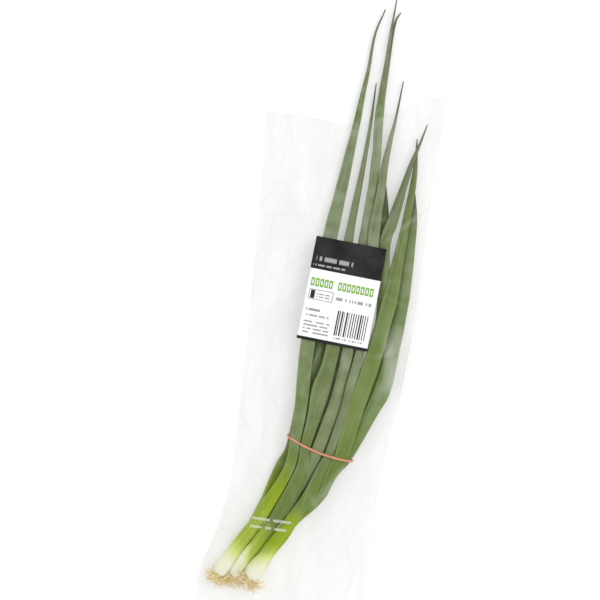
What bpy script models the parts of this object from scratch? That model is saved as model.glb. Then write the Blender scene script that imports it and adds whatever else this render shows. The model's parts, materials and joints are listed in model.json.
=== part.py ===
"""A tied bunch of three green shallots in a clear open bag with a plain label, lying flat.

Lengths are in millimetres and are turned into metres as the meshes are made. The routes are
written in the bag's axes: x across the bag, y along it towards its mouth, z up from the surface
that it lies on. CENTRE then moves the middle of the whole outline to the origin.
"""

import math
import random

import bmesh
import bpy
import numpy as np
from mathutils import Vector
from mathutils.bvhtree import BVHTree

MILLIMETRE = 0.001

# The bag: its outline, its film and the welded seam along its sides and foot
BAG_FOOT_Y = -237.0
BAG_LEFT_EDGE = [(-83, BAG_FOOT_Y), (-82, -205), (-73, -172), (-67, -125), (-67.5, -40), (-74, 130), (-79, 206)]
BAG_RIGHT_EDGE = [(65, BAG_FOOT_Y), (65, -160), (69, -82), (76, -12), (78.5, 60), (78.5, 150), (81, 241)]
BAG_MOUTH = [(-79, 205), (-48, 206.5), (-18, 204), (4, 205), (28, 216), (57, 231), (81, 241)]
FILM = 0.6
SEAM = 1.6
FILM_COLUMNS = 26
FILM_ROWS = 31
EDGE_BUNCHING = 0.6
FILM_CLEARANCE = 1.1
FILM_SLOPE = 2.2
LEAST_SLACK = 0.7
DRAPE_PASSES = 10

# The leaves: flattened tubes drawn out to their tips
TALLEST_TIP_Y = 321.0
LEAF_HALF_THICKNESS = 3.4
THICKNESS_SHARE = 0.62
LEAF_SIDES = 8
LEAF_STATIONS = 26

# The stems: a white shank below and green sheaths above, both round
STEM_SIDES = 12
STEM_STATIONS = 8
ROUTE_POINTS = 60
WHITE_LENGTH = 27.0
SHANK_GAP = 0.6
BULB_HEIGHT = 9.0
BULB_FADE = 20.0
BASE_SHARE = 0.55
SHEATH_END_SHARE = 0.35
SHEATH_DOME = 14.0

# The roots: strands that fan out of a small plate under each bulb
ROOT_STRANDS = 15
ROOT_HALF_WIDTH = 0.65
ROOT_SIDES = 4
ROOT_STATIONS = 6
ROOT_LEAST_Z = 1.7
ROOT_LENGTHS = (8.0, 13.0)
PLATE_SHARE = 0.9
PLATE_DEPTH = 2.6
PLATE_GAP = 0.35

# The rubber band
BAND_CENTRE = (10.6, -87.8)
BAND_TURN = math.radians(-14)
BAND_HALF_THICKNESS = 0.6
BAND_HALF_WIDTH = 1.0
BAND_CLEARANCE = 0.5
BAND_SAG = 4.0
BAND_REACH = 5.0
BAND_STATIONS = 56

# The label
LABEL_CENTRE = (10.0, 52.5)
LABEL_WIDTH = 64.0
LABEL_HEIGHT = 93.0
LABEL_TURN = math.radians(-3.6)
LABEL_THICKNESS = 0.6
LABEL_CLEARANCE = 0.5
LABEL_COLUMNS = 12
LABEL_ROWS = 12

CENTRE = (
    (BAG_LEFT_EDGE[0][0] + BAG_RIGHT_EDGE[-1][0]) / 2,
    (BAG_FOOT_Y + TALLEST_TIP_Y) / 2,
    0.0,
)

# Each shallot: its stem from the root plate to where the leaves part, the radius of its bulb and
# neck, how far its roots spread to either side, and its leaves. A point of a leaf is x, y, z and
# the leaf's half width there.
SHALLOTS = {
    "left": {
        "stem": [
            (-66.9, -211.7, 10.2), (-63.9, -204.8, 10.2), (-56.5, -191, 9), (-46, -173, 8.2),
            (-36.8, -157.5, 7.8), (-33, -150.5, 7.8),
        ],
        "bulb": 6.3,
        "neck": 5.4,
        "spread": 8.0,
        "leaves": {
            "tall": [
                (-42, -166, 8, 4.4), (-32.6, -147, 10.4, 5.9), (-22, -124, 12.6, 5), (-15, -104, 13.2, 4.5),
                (-13.8, -84, 13.2, 4.7), (-12.8, -50, 13.2, 5.7), (-14.2, -5, 13, 6.4), (-12.4, 45, 11.4, 7),
                (-9.8, 75, 8.8, 6.9), (-6.3, 108, 6.6, 6.6), (-0.3, 168, 4.6, 4.5), (3.4, 206, 4, 3.1),
                (5, 228, 3.6, 2.5), (7.5, 255, 3.2, 1.6), (9.1, 287, 2.8, 1.1), (15.5, 311, 2.4, 0.45),
            ],
            "outer": [
                (-43, -167, 7.4, 4.2), (-37.5, -152, 6.4, 4.4), (-33, -138, 5.8, 4), (-28.2, -122, 5.4, 4.7),
                (-23.6, -107, 5.4, 4.7), (-16.8, -88, 5.9, 4.2), (-13.6, -45, 5, 4.8), (-14.2, 0, 4.8, 5.2),
                (-12, 40, 4.6, 4), (-9.6, 74, 4.4, 0.6),
            ],
            "inner": [
                (-39.6, -164.6, 7.8, 4.3), (-30, -146.6, 6.6, 5.2), (-19.4, -122.4, 5.8, 4.8), (-11.4, -100, 5.8, 4.4),
                (-8, -84, 5.9, 4.2), (-4.6, -50, 5.8, 5), (-3.6, -17, 6.6, 5.6), (-2.8, 5, 6.6, 5.4),
                (-1, 40, 5.8, 4.4), (1.4, 66, 5.4, 0.6),
            ],
        },
    },
    "middle": {
        "stem": [
            (-53.6, -211.8, 7.8), (-50.5, -205.2, 7.8), (-43.4, -191.7, 7.8), (-37.2, -182.6, 7.7), (-32, -173, 7.6),
            (-21.8, -157.5, 7.4), (-17.5, -150, 7.4),
        ],
        "bulb": 5.7,
        "neck": 5.5,
        "spread": 7.6,
        "leaves": {
            "short": [
                (-27, -166, 7.8, 4.8), (-19.6, -149, 10.2, 6), (-9.2, -124, 12.8, 6.2), (-4, -106, 13.6, 5.7),
                (-3.6, -86, 13.6, 4.9), (0.2, -60, 13.8, 6.3), (2.8, -36, 13.8, 8.4), (6.4, -17, 13.8, 6.8),
                (8.8, 4, 13.6, 6.8), (9.2, 40, 12.2, 6.8), (9.6, 75, 9.2, 5.6), (10.6, 111, 6.2, 3.9),
                (14.4, 170, 4.2, 2.3), (15.9, 208, 3.6, 1.3), (16, 244, 3, 0.45),
            ],
            "tall": [
                (-25.5, -163, 7.4, 4.2), (-15.4, -147, 9, 4.8), (-5.4, -125, 11.2, 4.8), (1.8, -107, 12.6, 4.7),
                (7.6, -88, 13.8, 5.6), (16.4, -50, 13.8, 5.4), (19.6, -27, 13.6, 4.8), (22.4, 0, 13.4, 5.3),
                (23.6, 40, 12.4, 5.4), (24.4, 75, 9.8, 5.2), (24.6, 110, 7.4, 4.8), (25.2, 140, 6.6, 4.3),
                (25.5, 171, 6.4, 3.9), (23.1, 209, 6.2, 3.9), (22.5, 232, 5.4, 3.2), (22.8, 262, 4.8, 1.9),
                (23, 290, 4.2, 1.2), (24.4, 321, 3.6, 0.45),
            ],
            "behind": [
                (-25, -163, 6.8, 4.2), (-14.6, -146, 6.2, 4.6), (-4.6, -122, 5.6, 4.4), (1, -104, 5.7, 4.2),
                (4.8, -86, 5.8, 4.4), (11, -45, 5.2, 5.2), (16, 0, 5, 5.4), (22, 80, 4.4, 5),
                (24.6, 140, 3.6, 3.6), (23.4, 200, 3.2, 2.8), (23.8, 255, 2.8, 1.9), (25.4, 298, 2.6, 1.1),
                (29.5, 310, 2.4, 0.45),
            ],
            "dark": [
                (-24, -161, 6.8, 4), (-11, -143, 6, 4.2), (0.6, -120, 5.4, 4.2), (9, -104, 5.7, 4.2),
                (13.6, -86, 5.8, 4.2), (21.6, -45, 5, 4.6), (26.8, 0, 4.8, 4.8), (32, 60, 4.6, 4.8),
                (37.4, 108, 4.4, 5), (38.6, 128, 4.4, 4.2), (36.4, 150, 4.2, 1.6), (35.6, 158, 4.2, 0.45),
            ],
        },
    },
    "right": {
        "stem": [
            (-38.2, -211.4, 10.4), (-34.4, -204.2, 10.4), (-27.4, -191, 9.8), (-23, -182, 9.5), (-17.6, -173.5, 9.2), (-8, -158, 8.8),
            (-3.4, -150.5, 8.8),
        ],
        "bulb": 8.6,
        "neck": 6.4,
        "spread": 10.0,
        "leaves": {
            "slim": [
                (-13, -163, 8.8, 4.2), (-7.6, -152.7, 10, 4.6), (-0.6, -141, 11.2, 5), (5.8, -129, 12.2, 5.4),
                (10, -117, 12.8, 5.2), (13, -106, 13.2, 4.7), (18.2, -90.2, 13.6, 4), (26.4, -50, 13.8, 4),
                (29, -27, 13.8, 4.2), (33, 0, 13.8, 4.2), (34.8, 40, 13.8, 4), (34.2, 75, 13.2, 4.6),
                (31.9, 108, 12, 4.9), (33, 150, 9.6, 3.7), (33.5, 172, 7.6, 3.1), (35.6, 197, 5.4, 2),
                (37.3, 211, 4.4, 1.3), (40, 249, 3.2, 0.45),
            ],
            "broad": [
                (-9.5, -163, 9.2, 4), (-4.6, -155.4, 10.2, 3.6), (1.8, -147.4, 11.4, 3.6), (10, -137.6, 12.6, 4),
                (17, -127, 13.4, 4.1), (20.6, -115.5, 13.6, 4.7), (24, -104, 13.6, 5.6),
                (29.3, -90.5, 13.6, 6.5), (36, -50, 13.6, 7.2), (40.6, -27, 13.6, 7.3), (46, 0, 13.2, 7.3),
                (53.2, 48, 11.8, 6.8), (55.4, 74, 9.6, 5.7), (58.3, 109, 7, 4.1), (60.8, 152, 5.2, 2.9),
                (60.8, 176, 4.4, 1.8), (59, 199, 3.6, 0.45),
            ],
            "crossing": [
                (-10, -160, 8, 4.2), (2.6, -142, 6.8, 4.6), (15, -118, 6, 4.6), (23.6, -98, 5.9, 4.6),
                (28.6, -84, 5.9, 4.6), (41.6, -48, 5.6, 5), (48.6, -6, 6, 5.4), (48.6, 44, 7.4, 5.6),
                (43.6, 85, 9.4, 5.4), (43.2, 107, 10.6, 5.1), (46.6, 122, 9.8, 5), (52.6, 155, 7.6, 3.2),
                (56.9, 176, 6.6, 2.1), (62, 195, 5.6, 1.2), (66.5, 213, 4.8, 0.45),
            ],
            "edge": [
                (-8.6, -158, 8.4, 4.6), (4.8, -141, 9.6, 4.8), (18.2, -119, 10.8, 4.4), (26.8, -104, 10.6, 4.4),
                (34.8, -91, 10, 4.8), (50.4, -50, 9.4, 6.4), (58, -27, 9, 7.4), (62.4, 10, 7.6, 6.4),
                (65.6, 49, 6.2, 5.6), (66, 75, 5.2, 5.2), (66, 110, 4.4, 4.1), (65.8, 130, 3.8, 2.6),
                (63.6, 150, 3.2, 0.45),
            ],
        },
    },
}

FINISHES = {
    "leaf_green": ((0.16, 0.27, 0.07), 0.45),
    "shank_white": ((0.84, 0.86, 0.68), 0.4),
    "root_tan": ((0.62, 0.47, 0.26), 0.8),
    "band_rubber": ((0.78, 0.24, 0.12), 0.5),
    "clear_film": ((0.92, 0.94, 0.93), 0.25),
    "label_paper": ((0.9, 0.9, 0.88), 0.5),
}
FILM_ALPHA = 0.3


def clear_scene():
    for obj in list(bpy.data.objects):
        bpy.data.objects.remove(obj)


def finish(name):
    """The Principled material of that name, made once."""
    made = bpy.data.materials.get(name)
    if made:
        return made
    colour, roughness = FINISHES[name]
    made = bpy.data.materials.new(name)
    made.use_nodes = True
    shader = made.node_tree.nodes["Principled BSDF"]
    shader.inputs["Base Color"].default_value = (*colour, 1.0)
    shader.inputs["Roughness"].default_value = roughness
    shader.inputs["Metallic"].default_value = 0.0
    if name == "clear_film":
        shader.inputs["Alpha"].default_value = FILM_ALPHA
    return made


def to_metres(points):
    return (np.asarray(points, float) - CENTRE) * MILLIMETRE


def to_millimetres(points):
    return np.asarray(points, float) / MILLIMETRE + CENTRE


def object_from(bm, name, material):
    """Turns a bmesh, in millimetres and the bag's axes, into an object in metres round the origin."""
    bmesh.ops.recalc_face_normals(bm, faces=bm.faces)
    for vertex in bm.verts:
        vertex.co = Vector(to_metres(vertex.co))
    mesh = bpy.data.meshes.new(name)
    bm.to_mesh(mesh)
    bm.free()
    mesh.shade_smooth()
    mesh.set_sharp_from_angle(angle=math.radians(50))
    mesh.materials.append(finish(material))
    obj = bpy.data.objects.new(name, mesh)
    bpy.context.scene.collection.objects.link(obj)
    return obj


def smoothstep(low, high, value):
    share = np.clip((np.asarray(value, float) - low) / (high - low), 0, 1)
    return share * share * (3 - 2 * share)


def smooth_route(points, count):
    """That many evenly spaced points on a Catmull-Rom curve through the given ones."""
    given = np.asarray(points, float)
    padded = np.vstack([2 * given[0] - given[1], given, 2 * given[-1] - given[-2]])
    dense = []
    for i in range(1, len(padded) - 2):
        before, start, end, after = padded[i - 1 : i + 3]
        for t in np.linspace(0, 1, 16, endpoint=False):
            dense.append(0.5 * (
                2 * start + (end - before) * t
                + (2 * before - 5 * start + 4 * end - after) * t**2
                + (3 * start - before - 3 * end + after) * t**3
            ))
    dense.append(given[-1])
    dense = np.array(dense)
    along = np.concatenate([[0], np.cumsum(np.linalg.norm(np.diff(dense, axis=0), axis=1))])
    wanted = np.linspace(0, along[-1], count)
    return np.column_stack([np.interp(wanted, along, dense[:, axis]) for axis in range(dense.shape[1])])


def distances(route):
    return np.concatenate([[0], np.cumsum(np.linalg.norm(np.diff(route, axis=0), axis=1))])


def side_and_lift(route):
    """Unit vectors across each point of a route: one level and to its right, one square to it and upwards."""
    tangent = np.gradient(route, axis=0)
    tangent /= np.linalg.norm(tangent, axis=1)[:, None]
    side = np.cross(tangent, (0, 0, 1))
    side /= np.linalg.norm(side, axis=1)[:, None]
    return side, np.cross(side, tangent)


def tube(name, route, half_widths, half_thicknesses, sides, material):
    """A closed tube with oval rings square to its route and a flat face at either end."""
    side, lift = side_and_lift(route)
    bm = bmesh.new()
    rings = []
    for i, centre in enumerate(route):
        ring = []
        for k in range(sides):
            angle = math.tau * k / sides
            across = side[i] * half_widths[i] * math.cos(angle)
            upwards = lift[i] * half_thicknesses[i] * math.sin(angle)
            ring.append(bm.verts.new(centre + across + upwards))
        rings.append(ring)
    for lower, upper in zip(rings, rings[1:]):
        for k in range(sides):
            nearby = (k + 1) % sides
            bm.faces.new((lower[k], lower[nearby], upper[nearby], upper[k]))
    bm.faces.new(rings[0])
    bm.faces.new(rings[-1])
    return object_from(bm, name, material)


def fused(name, pieces):
    """Joins the pieces into one body with a single Boolean union, and removes them."""
    group = bpy.data.collections.new(name + "_pieces")
    bpy.context.scene.collection.children.link(group)
    body, others = pieces[0], pieces[1:]
    for piece in others:
        group.objects.link(piece)
        bpy.context.scene.collection.objects.unlink(piece)
    union = body.modifiers.new("union", "BOOLEAN")
    union.operation = "UNION"
    union.operand_type = "COLLECTION"
    union.collection = group
    union.solver = "MANIFOLD"
    bpy.context.view_layer.update()
    graph = bpy.context.evaluated_depsgraph_get()
    joined = bpy.data.meshes.new_from_object(body.evaluated_get(graph))
    body.modifiers.clear()
    body.data = joined
    body.name = name
    joined.name = name
    for piece in others:
        bpy.data.objects.remove(piece)
    bpy.data.collections.remove(group)
    return body


def leaf(name, points):
    route = smooth_route(points, LEAF_STATIONS)
    half_width = np.maximum(route[:, 3], 0.4)
    half_thickness = np.minimum(LEAF_HALF_THICKNESS, np.maximum(half_width * THICKNESS_SHARE, 0.4))
    return tube(name, route[:, :3], half_width, half_thickness, LEAF_SIDES, "leaf_green")


def stem_radius(distance, length, bulb, neck):
    """The radius of a stem at a distance from its root plate."""
    swelling = neck + (bulb - neck) * (1 - smoothstep(BULB_HEIGHT, BULB_HEIGHT + BULB_FADE, distance))
    rise = np.clip(1 - distance / BULB_HEIGHT, 0, 1)
    rounded = BASE_SHARE + (1 - BASE_SHARE) * np.sqrt(1 - rise**2)
    closing = np.clip((distance - (length - SHEATH_DOME)) / SHEATH_DOME, 0, 1)
    return swelling * rounded * (1 - (1 - SHEATH_END_SHARE) * closing**2)


def cut_route(route, start, end, count):
    """The stretch of a route between two distances, as evenly spaced points."""
    along = distances(route)
    wanted = np.linspace(start, end, count)
    return np.column_stack([np.interp(wanted, along, route[:, axis]) for axis in range(3)]), wanted


def shallot(name, stem, bulb, neck, spread, leaves):
    """The white shank, the green sheath fused with its leaves, and the roots."""
    whole = smooth_route(stem, ROUTE_POINTS)
    length = distances(whole)[-1]
    shank_route, at = cut_route(whole, 0, WHITE_LENGTH, STEM_STATIONS)
    radii = stem_radius(at, length, bulb, neck)
    shank = tube(f"shank_{name}", shank_route, radii, radii, STEM_SIDES, "shank_white")
    sheath_route, at = cut_route(whole, WHITE_LENGTH + SHANK_GAP, length, STEM_STATIONS)
    radii = stem_radius(at, length, bulb, neck)
    green = [tube(f"sheath_{name}", sheath_route, radii, radii, STEM_SIDES, "leaf_green")]
    for leaf_name, points in leaves.items():
        green.append(leaf(f"leaf_{name}_{leaf_name}", points))
    greens = fused(f"leaves_{name}", green)
    return [shank, greens, roots(f"roots_{name}", whole, bulb, spread)]


def roots(name, stem_route, bulb, spread):
    """Curling strands, evenly fanned with a seeded wobble, fused to the plate that they grow from."""
    rng = random.Random(name)
    base = stem_route[0]
    away = stem_route[0] - stem_route[4]
    away /= np.linalg.norm(away)
    side = np.cross(away, (0, 0, 1))
    side /= np.linalg.norm(side)
    up = np.cross(side, away)
    plate_radius = bulb * BASE_SHARE * PLATE_SHARE
    plate_route = np.array([base + away * d for d in (PLATE_GAP, PLATE_DEPTH * 0.6, PLATE_DEPTH)])
    radii = [plate_radius, plate_radius * 0.9, plate_radius * 0.6]
    pieces = [tube(f"plate_{name}", plate_route, radii, radii, STEM_SIDES, "root_tan")]
    for k in range(ROOT_STRANDS):
        share = 2 * (k + 0.5) / ROOT_STRANDS - 1
        level = math.sin(k * 2.4)
        length = rng.uniform(*ROOT_LENGTHS)
        start = base + away * 1.4 + side * share * plate_radius * 0.6 + up * level * plate_radius * 0.5
        bend = start + away * 3.2 + side * share * spread * 0.45 + up * level * 2.4
        end = start + away * length * (1 - 0.35 * abs(share)) + side * share * spread * 0.62
        end = end + up * (level * 2.2 + rng.uniform(-1, 1))
        middle = (bend + end) / 2 + side * rng.uniform(-1, 1) + up * rng.uniform(-1.4, 1.4)
        points = np.array([start, bend, middle, end])
        points[:, 2] = np.maximum(points[:, 2], ROOT_LEAST_Z)
        thickness = np.linspace(1, 0.75, ROOT_STATIONS) * ROOT_HALF_WIDTH
        strand = smooth_route(points, ROOT_STATIONS)
        pieces.append(tube(f"strand_{k}_{name}", strand, thickness, thickness, ROOT_SIDES, "root_tan"))
    return fused(name, pieces)


def points_of(objects):
    """Every vertex of these objects, in millimetres and the bag's axes."""
    found = [np.array([obj.matrix_world @ v.co for v in obj.data.vertices]) for obj in objects]
    return to_millimetres(np.vstack(found))


def surface_points(objects, step=3.0):
    """Points all over these objects' faces, no further apart than the step, with their vertices."""
    found = [points_of(objects)]
    for obj in objects:
        obj.data.calc_loop_triangles()
        corners = to_millimetres(np.array([v.co for v in obj.data.vertices]))
        faces = corners[np.array([t.vertices for t in obj.data.loop_triangles])]
        longest = np.linalg.norm(faces - np.roll(faces, 1, axis=1), axis=2).max(axis=1)
        for parts in range(2, 9):
            chosen = faces[np.ceil(longest / step) == parts] if parts < 8 else faces[longest / step > 7]
            for i in range(parts + 1):
                for j in range(parts + 1 - i):
                    weights = np.array([i, j, parts - i - j]) / parts
                    found.append(np.einsum("k,nkc->nc", weights, chosen))
    return np.vstack(found)


def rubber_band(greens):
    """A flat band that hugs the leaves: the outline of their section where it ties them, held off by a hair."""
    across = np.array([math.cos(BAND_TURN), math.sin(BAND_TURN), 0])
    along = np.array([-math.sin(BAND_TURN), math.cos(BAND_TURN), 0])
    centre = np.array([*BAND_CENTRE, 0])
    near = surface_points(greens, 2.0) - centre
    near = near[np.abs(near @ along) < BAND_REACH]
    flat = np.column_stack([near @ across, near[:, 2]])
    middle = (flat.min(axis=0) + flat.max(axis=0)) / 2
    angles = np.arange(0, math.tau, math.tau / 360)
    rays = np.column_stack([np.cos(angles), np.sin(angles)])
    support = (rays @ (flat - middle).T).max(axis=1) + BAND_CLEARANCE + BAND_HALF_THICKNESS
    turning = np.gradient(np.concatenate([support[-1:], support, support[:1]]))[1:-1] / (math.tau / 360)
    tangents = np.column_stack([-rays[:, 1], rays[:, 0]])
    outline = middle + rays * support[:, None] + tangents * turning[:, None]
    closed = np.vstack([outline, outline[:1]])
    walked = distances(closed)
    turned = walked / walked[-1] + np.linspace(0, 1, len(closed))
    wanted = np.linspace(0, 2, BAND_STATIONS, endpoint=False)
    outline = np.column_stack([np.interp(wanted, turned, closed[:, axis]) for axis in range(2)])
    normals = np.roll(outline, -1, axis=0) - np.roll(outline, 1, axis=0)
    normals = np.column_stack([normals[:, 1], -normals[:, 0]])
    normals /= np.linalg.norm(normals, axis=1)[:, None]
    half = np.abs(outline[:, 0] - middle[0]).max()
    front = smoothstep(middle[1] - 4, middle[1] + 4, outline[:, 1])
    sag = BAND_SAG * front * (1 - ((outline[:, 0] - middle[0]) / half) ** 2)
    bm = bmesh.new()
    rings = []
    for i in range(BAND_STATIONS):
        place = centre + across * outline[i, 0] - along * sag[i]
        place[2] = outline[i, 1]
        outwards = across * normals[i, 0] + np.array([0, 0, normals[i, 1]])
        corners = [(1, 1), (-1, 1), (-1, -1), (1, -1)]
        rings.append([
            bm.verts.new(place + outwards * a * BAND_HALF_THICKNESS + along * b * BAND_HALF_WIDTH)
            for a, b in corners
        ])
    for i in range(BAND_STATIONS):
        here, there = rings[i], rings[(i + 1) % BAND_STATIONS]
        for k in range(4):
            nearby = (k + 1) % 4
            bm.faces.new((here[k], here[nearby], there[nearby], there[k]))
    return object_from(bm, "rubber_band", "band_rubber")


def film_grid():
    """The places of the film's grid, across and along. Its outermost cells are the seam."""
    left = smooth_route(BAG_LEFT_EDGE, 200)
    right = smooth_route(BAG_RIGHT_EDGE, 200)
    mouth = smooth_route(BAG_MOUTH, 200)
    columns = np.linspace(0, 1, FILM_COLUMNS - 1)
    columns += EDGE_BUNCHING * (0.5 - 0.5 * np.cos(math.pi * columns) - columns)
    rows = np.linspace(0, 1, FILM_ROWS)
    rows += EDGE_BUNCHING * (1 - np.cos(math.pi / 2 * rows) - rows)
    grid = np.zeros((FILM_ROWS + 1, FILM_COLUMNS + 1, 2))
    for j in range(FILM_ROWS + 1):
        for i in range(FILM_COLUMNS + 1):
            column = columns[min(max(i - 1, 0), FILM_COLUMNS - 2)]
            row = rows[max(j - 1, 0)]
            guess = BAG_FOOT_Y + row * (BAG_MOUTH[0][1] - BAG_FOOT_Y)
            for _ in range(3):
                low = np.interp(guess, left[:, 1], left[:, 0]) + (0 if i == 0 else SEAM)
                high = np.interp(guess, right[:, 1], right[:, 0]) - (0 if i == FILM_COLUMNS else SEAM)
                x = low + column * (high - low)
                top = np.interp(x, mouth[:, 0], mouth[:, 1])
                foot = BAG_FOOT_Y + (0 if j == 0 else SEAM)
                guess = foot + row * (top - foot)
            grid[j, i] = x, guess
    return grid


def draped_heights(grid, contents):
    """The height of the film's inner face at each place of the grid: a tent over what it holds."""
    points = surface_points(contents)
    spacing_x = np.linalg.norm(np.gradient(grid, axis=1), axis=2)
    spacing_y = np.linalg.norm(np.gradient(grid, axis=0), axis=2)
    floor_height = FILM + LEAST_SLACK
    heights = np.full(grid.shape[:2], floor_height)
    for j in range(grid.shape[0]):
        for i in range(grid.shape[1]):
            half_cell = (spacing_x[j, i] / 2, spacing_y[j, i] / 2)
            beyond = np.maximum(np.abs(points[:, :2] - grid[j, i]) - half_cell, 0)
            tent = points[:, 2] + FILM_CLEARANCE - FILM_SLOPE * np.linalg.norm(beyond, axis=1)
            heights[j, i] = max(floor_height, tent.max())
    needed = heights.copy()
    for _ in range(DRAPE_PASSES):
        padded = np.pad(heights, 1, mode="edge")
        spread = (padded[:-2, 1:-1] + padded[2:, 1:-1] + padded[1:-1, :-2] + padded[1:-1, 2:]) / 4
        heights = np.maximum(needed, (heights + spread) / 2)
    return heights


def slope_factor(grid, heights):
    """How much taller than its thickness the film stands, measured upright, where it slopes."""
    rise_i = np.gradient(heights, axis=1) / np.linalg.norm(np.gradient(grid, axis=1), axis=2)
    rise_j = np.gradient(heights, axis=0) / np.linalg.norm(np.gradient(grid, axis=0), axis=2)
    return np.sqrt(1 + rise_i**2 + rise_j**2)


def bag(contents):
    """One closed shell of film: flat below, draped over the bunch above, sealed round three sides."""
    grid = film_grid()
    last_row, last_column = FILM_ROWS, FILM_COLUMNS
    inner = draped_heights(grid, contents)
    outer = inner + FILM * slope_factor(grid, inner)
    edge = np.zeros(inner.shape, bool)
    edge[:2, :] = edge[:, :2] = edge[:, -2:] = True
    inner[edge] = FILM
    outer[edge] = 2 * FILM
    bm = bmesh.new()

    def vertex(j, i, z):
        return bm.verts.new((*grid[j, i], z))

    rows, columns = range(last_row + 1), range(last_column + 1)
    top = {(j, i): vertex(j, i, outer[j, i]) for j in rows for i in columns}
    hollow = {(j, i): vertex(j, i, inner[j, i]) for j in rows[1:] for i in columns[1:-1]}
    rim = [(j, 0) for j in rows] + [(last_row, i) for i in columns[1:-1]]
    rim += [(j, last_column) for j in rows[::-1]] + [(0, i) for i in columns[-2:0:-1]]
    below = {place: vertex(*place, 0.0) for place in rim}
    mouth = {i: hollow[last_row, i] if i in (1, last_column - 1) else vertex(last_row, i, FILM) for i in columns[1:-1]}
    for j in rows[:-1]:
        for i in columns[:-1]:
            bm.faces.new((top[j, i], top[j, i + 1], top[j + 1, i + 1], top[j + 1, i]))
            if j >= 1 and 1 <= i < last_column - 1:
                bm.faces.new((hollow[j, i], hollow[j + 1, i], hollow[j + 1, i + 1], hollow[j, i + 1]))
    bm.faces.new([below[place] for place in rim])
    floor = [hollow[j, 1] for j in rows[1:]] + [mouth[i] for i in columns[2:-2]]
    floor += [hollow[j, last_column - 1] for j in rows[:0:-1]] + [hollow[1, i] for i in columns[-3:1:-1]]
    bm.faces.new(floor)
    for place, following in zip(rim, rim[1:] + rim[:1]):
        if place[0] == following[0] == last_row:
            continue
        bm.faces.new((below[place], below[following], top[following], top[place]))
    for i, step in ((0, 1), (last_column, -1)):
        bm.faces.new((
            top[last_row, i], top[last_row, i + step], mouth[i + step], below[last_row, i + step], below[last_row, i],
        ))
    for i in columns[1:-2]:
        bm.faces.new((top[last_row, i], top[last_row, i + 1], hollow[last_row, i + 1], hollow[last_row, i]))
        bm.faces.new((mouth[i], mouth[i + 1], below[last_row, i + 1], below[last_row, i]))
    return object_from(bm, "bag", "clear_film")


def label(film):
    """A sheet stuck on the bag, following the film that it lies on."""
    film_mesh = bmesh.new()
    film_mesh.from_mesh(film.data)
    tree = BVHTree.FromBMesh(film_mesh)
    film_mesh.free()
    cosine, sine = math.cos(LABEL_TURN), math.sin(LABEL_TURN)
    turn = np.array([[cosine, sine], [-sine, cosine]])
    cell = (LABEL_WIDTH / LABEL_COLUMNS, LABEL_HEIGHT / LABEL_ROWS)

    def place(column, row):
        local = (column * cell[0] - LABEL_WIDTH / 2, row * cell[1] - LABEL_HEIGHT / 2)
        return np.array(local) @ turn + LABEL_CENTRE

    def film_height(column, row):
        start = Vector(to_metres((*place(column, row), 0)))
        start.z = 0.1
        return tree.ray_cast(start, Vector((0, 0, -1)))[0].z / MILLIMETRE

    fine = 4
    measured = np.array([
        [film_height(i / fine, j / fine) for i in range(LABEL_COLUMNS * fine + 1)]
        for j in range(LABEL_ROWS * fine + 1)
    ])
    heights = np.array([
        [
            measured[max(j - 1, 0) * fine : (j + 1) * fine + 1, max(i - 1, 0) * fine : (i + 1) * fine + 1].max()
            for i in range(LABEL_COLUMNS + 1)
        ]
        for j in range(LABEL_ROWS + 1)
    ])
    bm = bmesh.new()
    layers = []
    for offset in (LABEL_CLEARANCE, LABEL_CLEARANCE + LABEL_THICKNESS):
        layers.append([
            [bm.verts.new((*place(i, j), heights[j, i] + offset)) for i in range(LABEL_COLUMNS + 1)]
            for j in range(LABEL_ROWS + 1)
        ])
    for layer in layers:
        for lower, upper in zip(layer, layer[1:]):
            for i in range(LABEL_COLUMNS):
                bm.faces.new((lower[i], lower[i + 1], upper[i + 1], upper[i]))
    under, over = layers
    border = [(0, i) for i in range(LABEL_COLUMNS)] + [(j, LABEL_COLUMNS) for j in range(LABEL_ROWS)]
    border += [(LABEL_ROWS, i) for i in range(LABEL_COLUMNS, 0, -1)] + [(j, 0) for j in range(LABEL_ROWS, 0, -1)]
    for (j, i), (m, k) in zip(border, border[1:] + border[:1]):
        bm.faces.new((under[j][i], under[m][k], over[m][k], over[j][i]))
    return object_from(bm, "label", "label_paper")


def main():
    clear_scene()
    bunch = []
    greens = []
    for name, made_of in SHALLOTS.items():
        pieces = shallot(name, **made_of)
        greens.append(pieces[1])
        bunch += pieces
    bunch.append(rubber_band(greens))
    label(bag(bunch))


main()
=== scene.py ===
"""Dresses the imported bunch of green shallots: leaves, shanks, root tufts, tie, film bag, label and studio.

Shapes are worked out in millimetres in the bag's axes, as in the part's own source: x across the bag,
y along it towards its mouth, z up from the surface that it lies on. They turn into metres as each mesh
is made.
"""

import json
import math
import random

import bpy
import numpy as np
from bpy.props import (
    FloatProperty,
    FloatVectorProperty,
    IntProperty,
    PointerProperty,
)
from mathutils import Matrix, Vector
from mathutils.bvhtree import BVHTree

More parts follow.
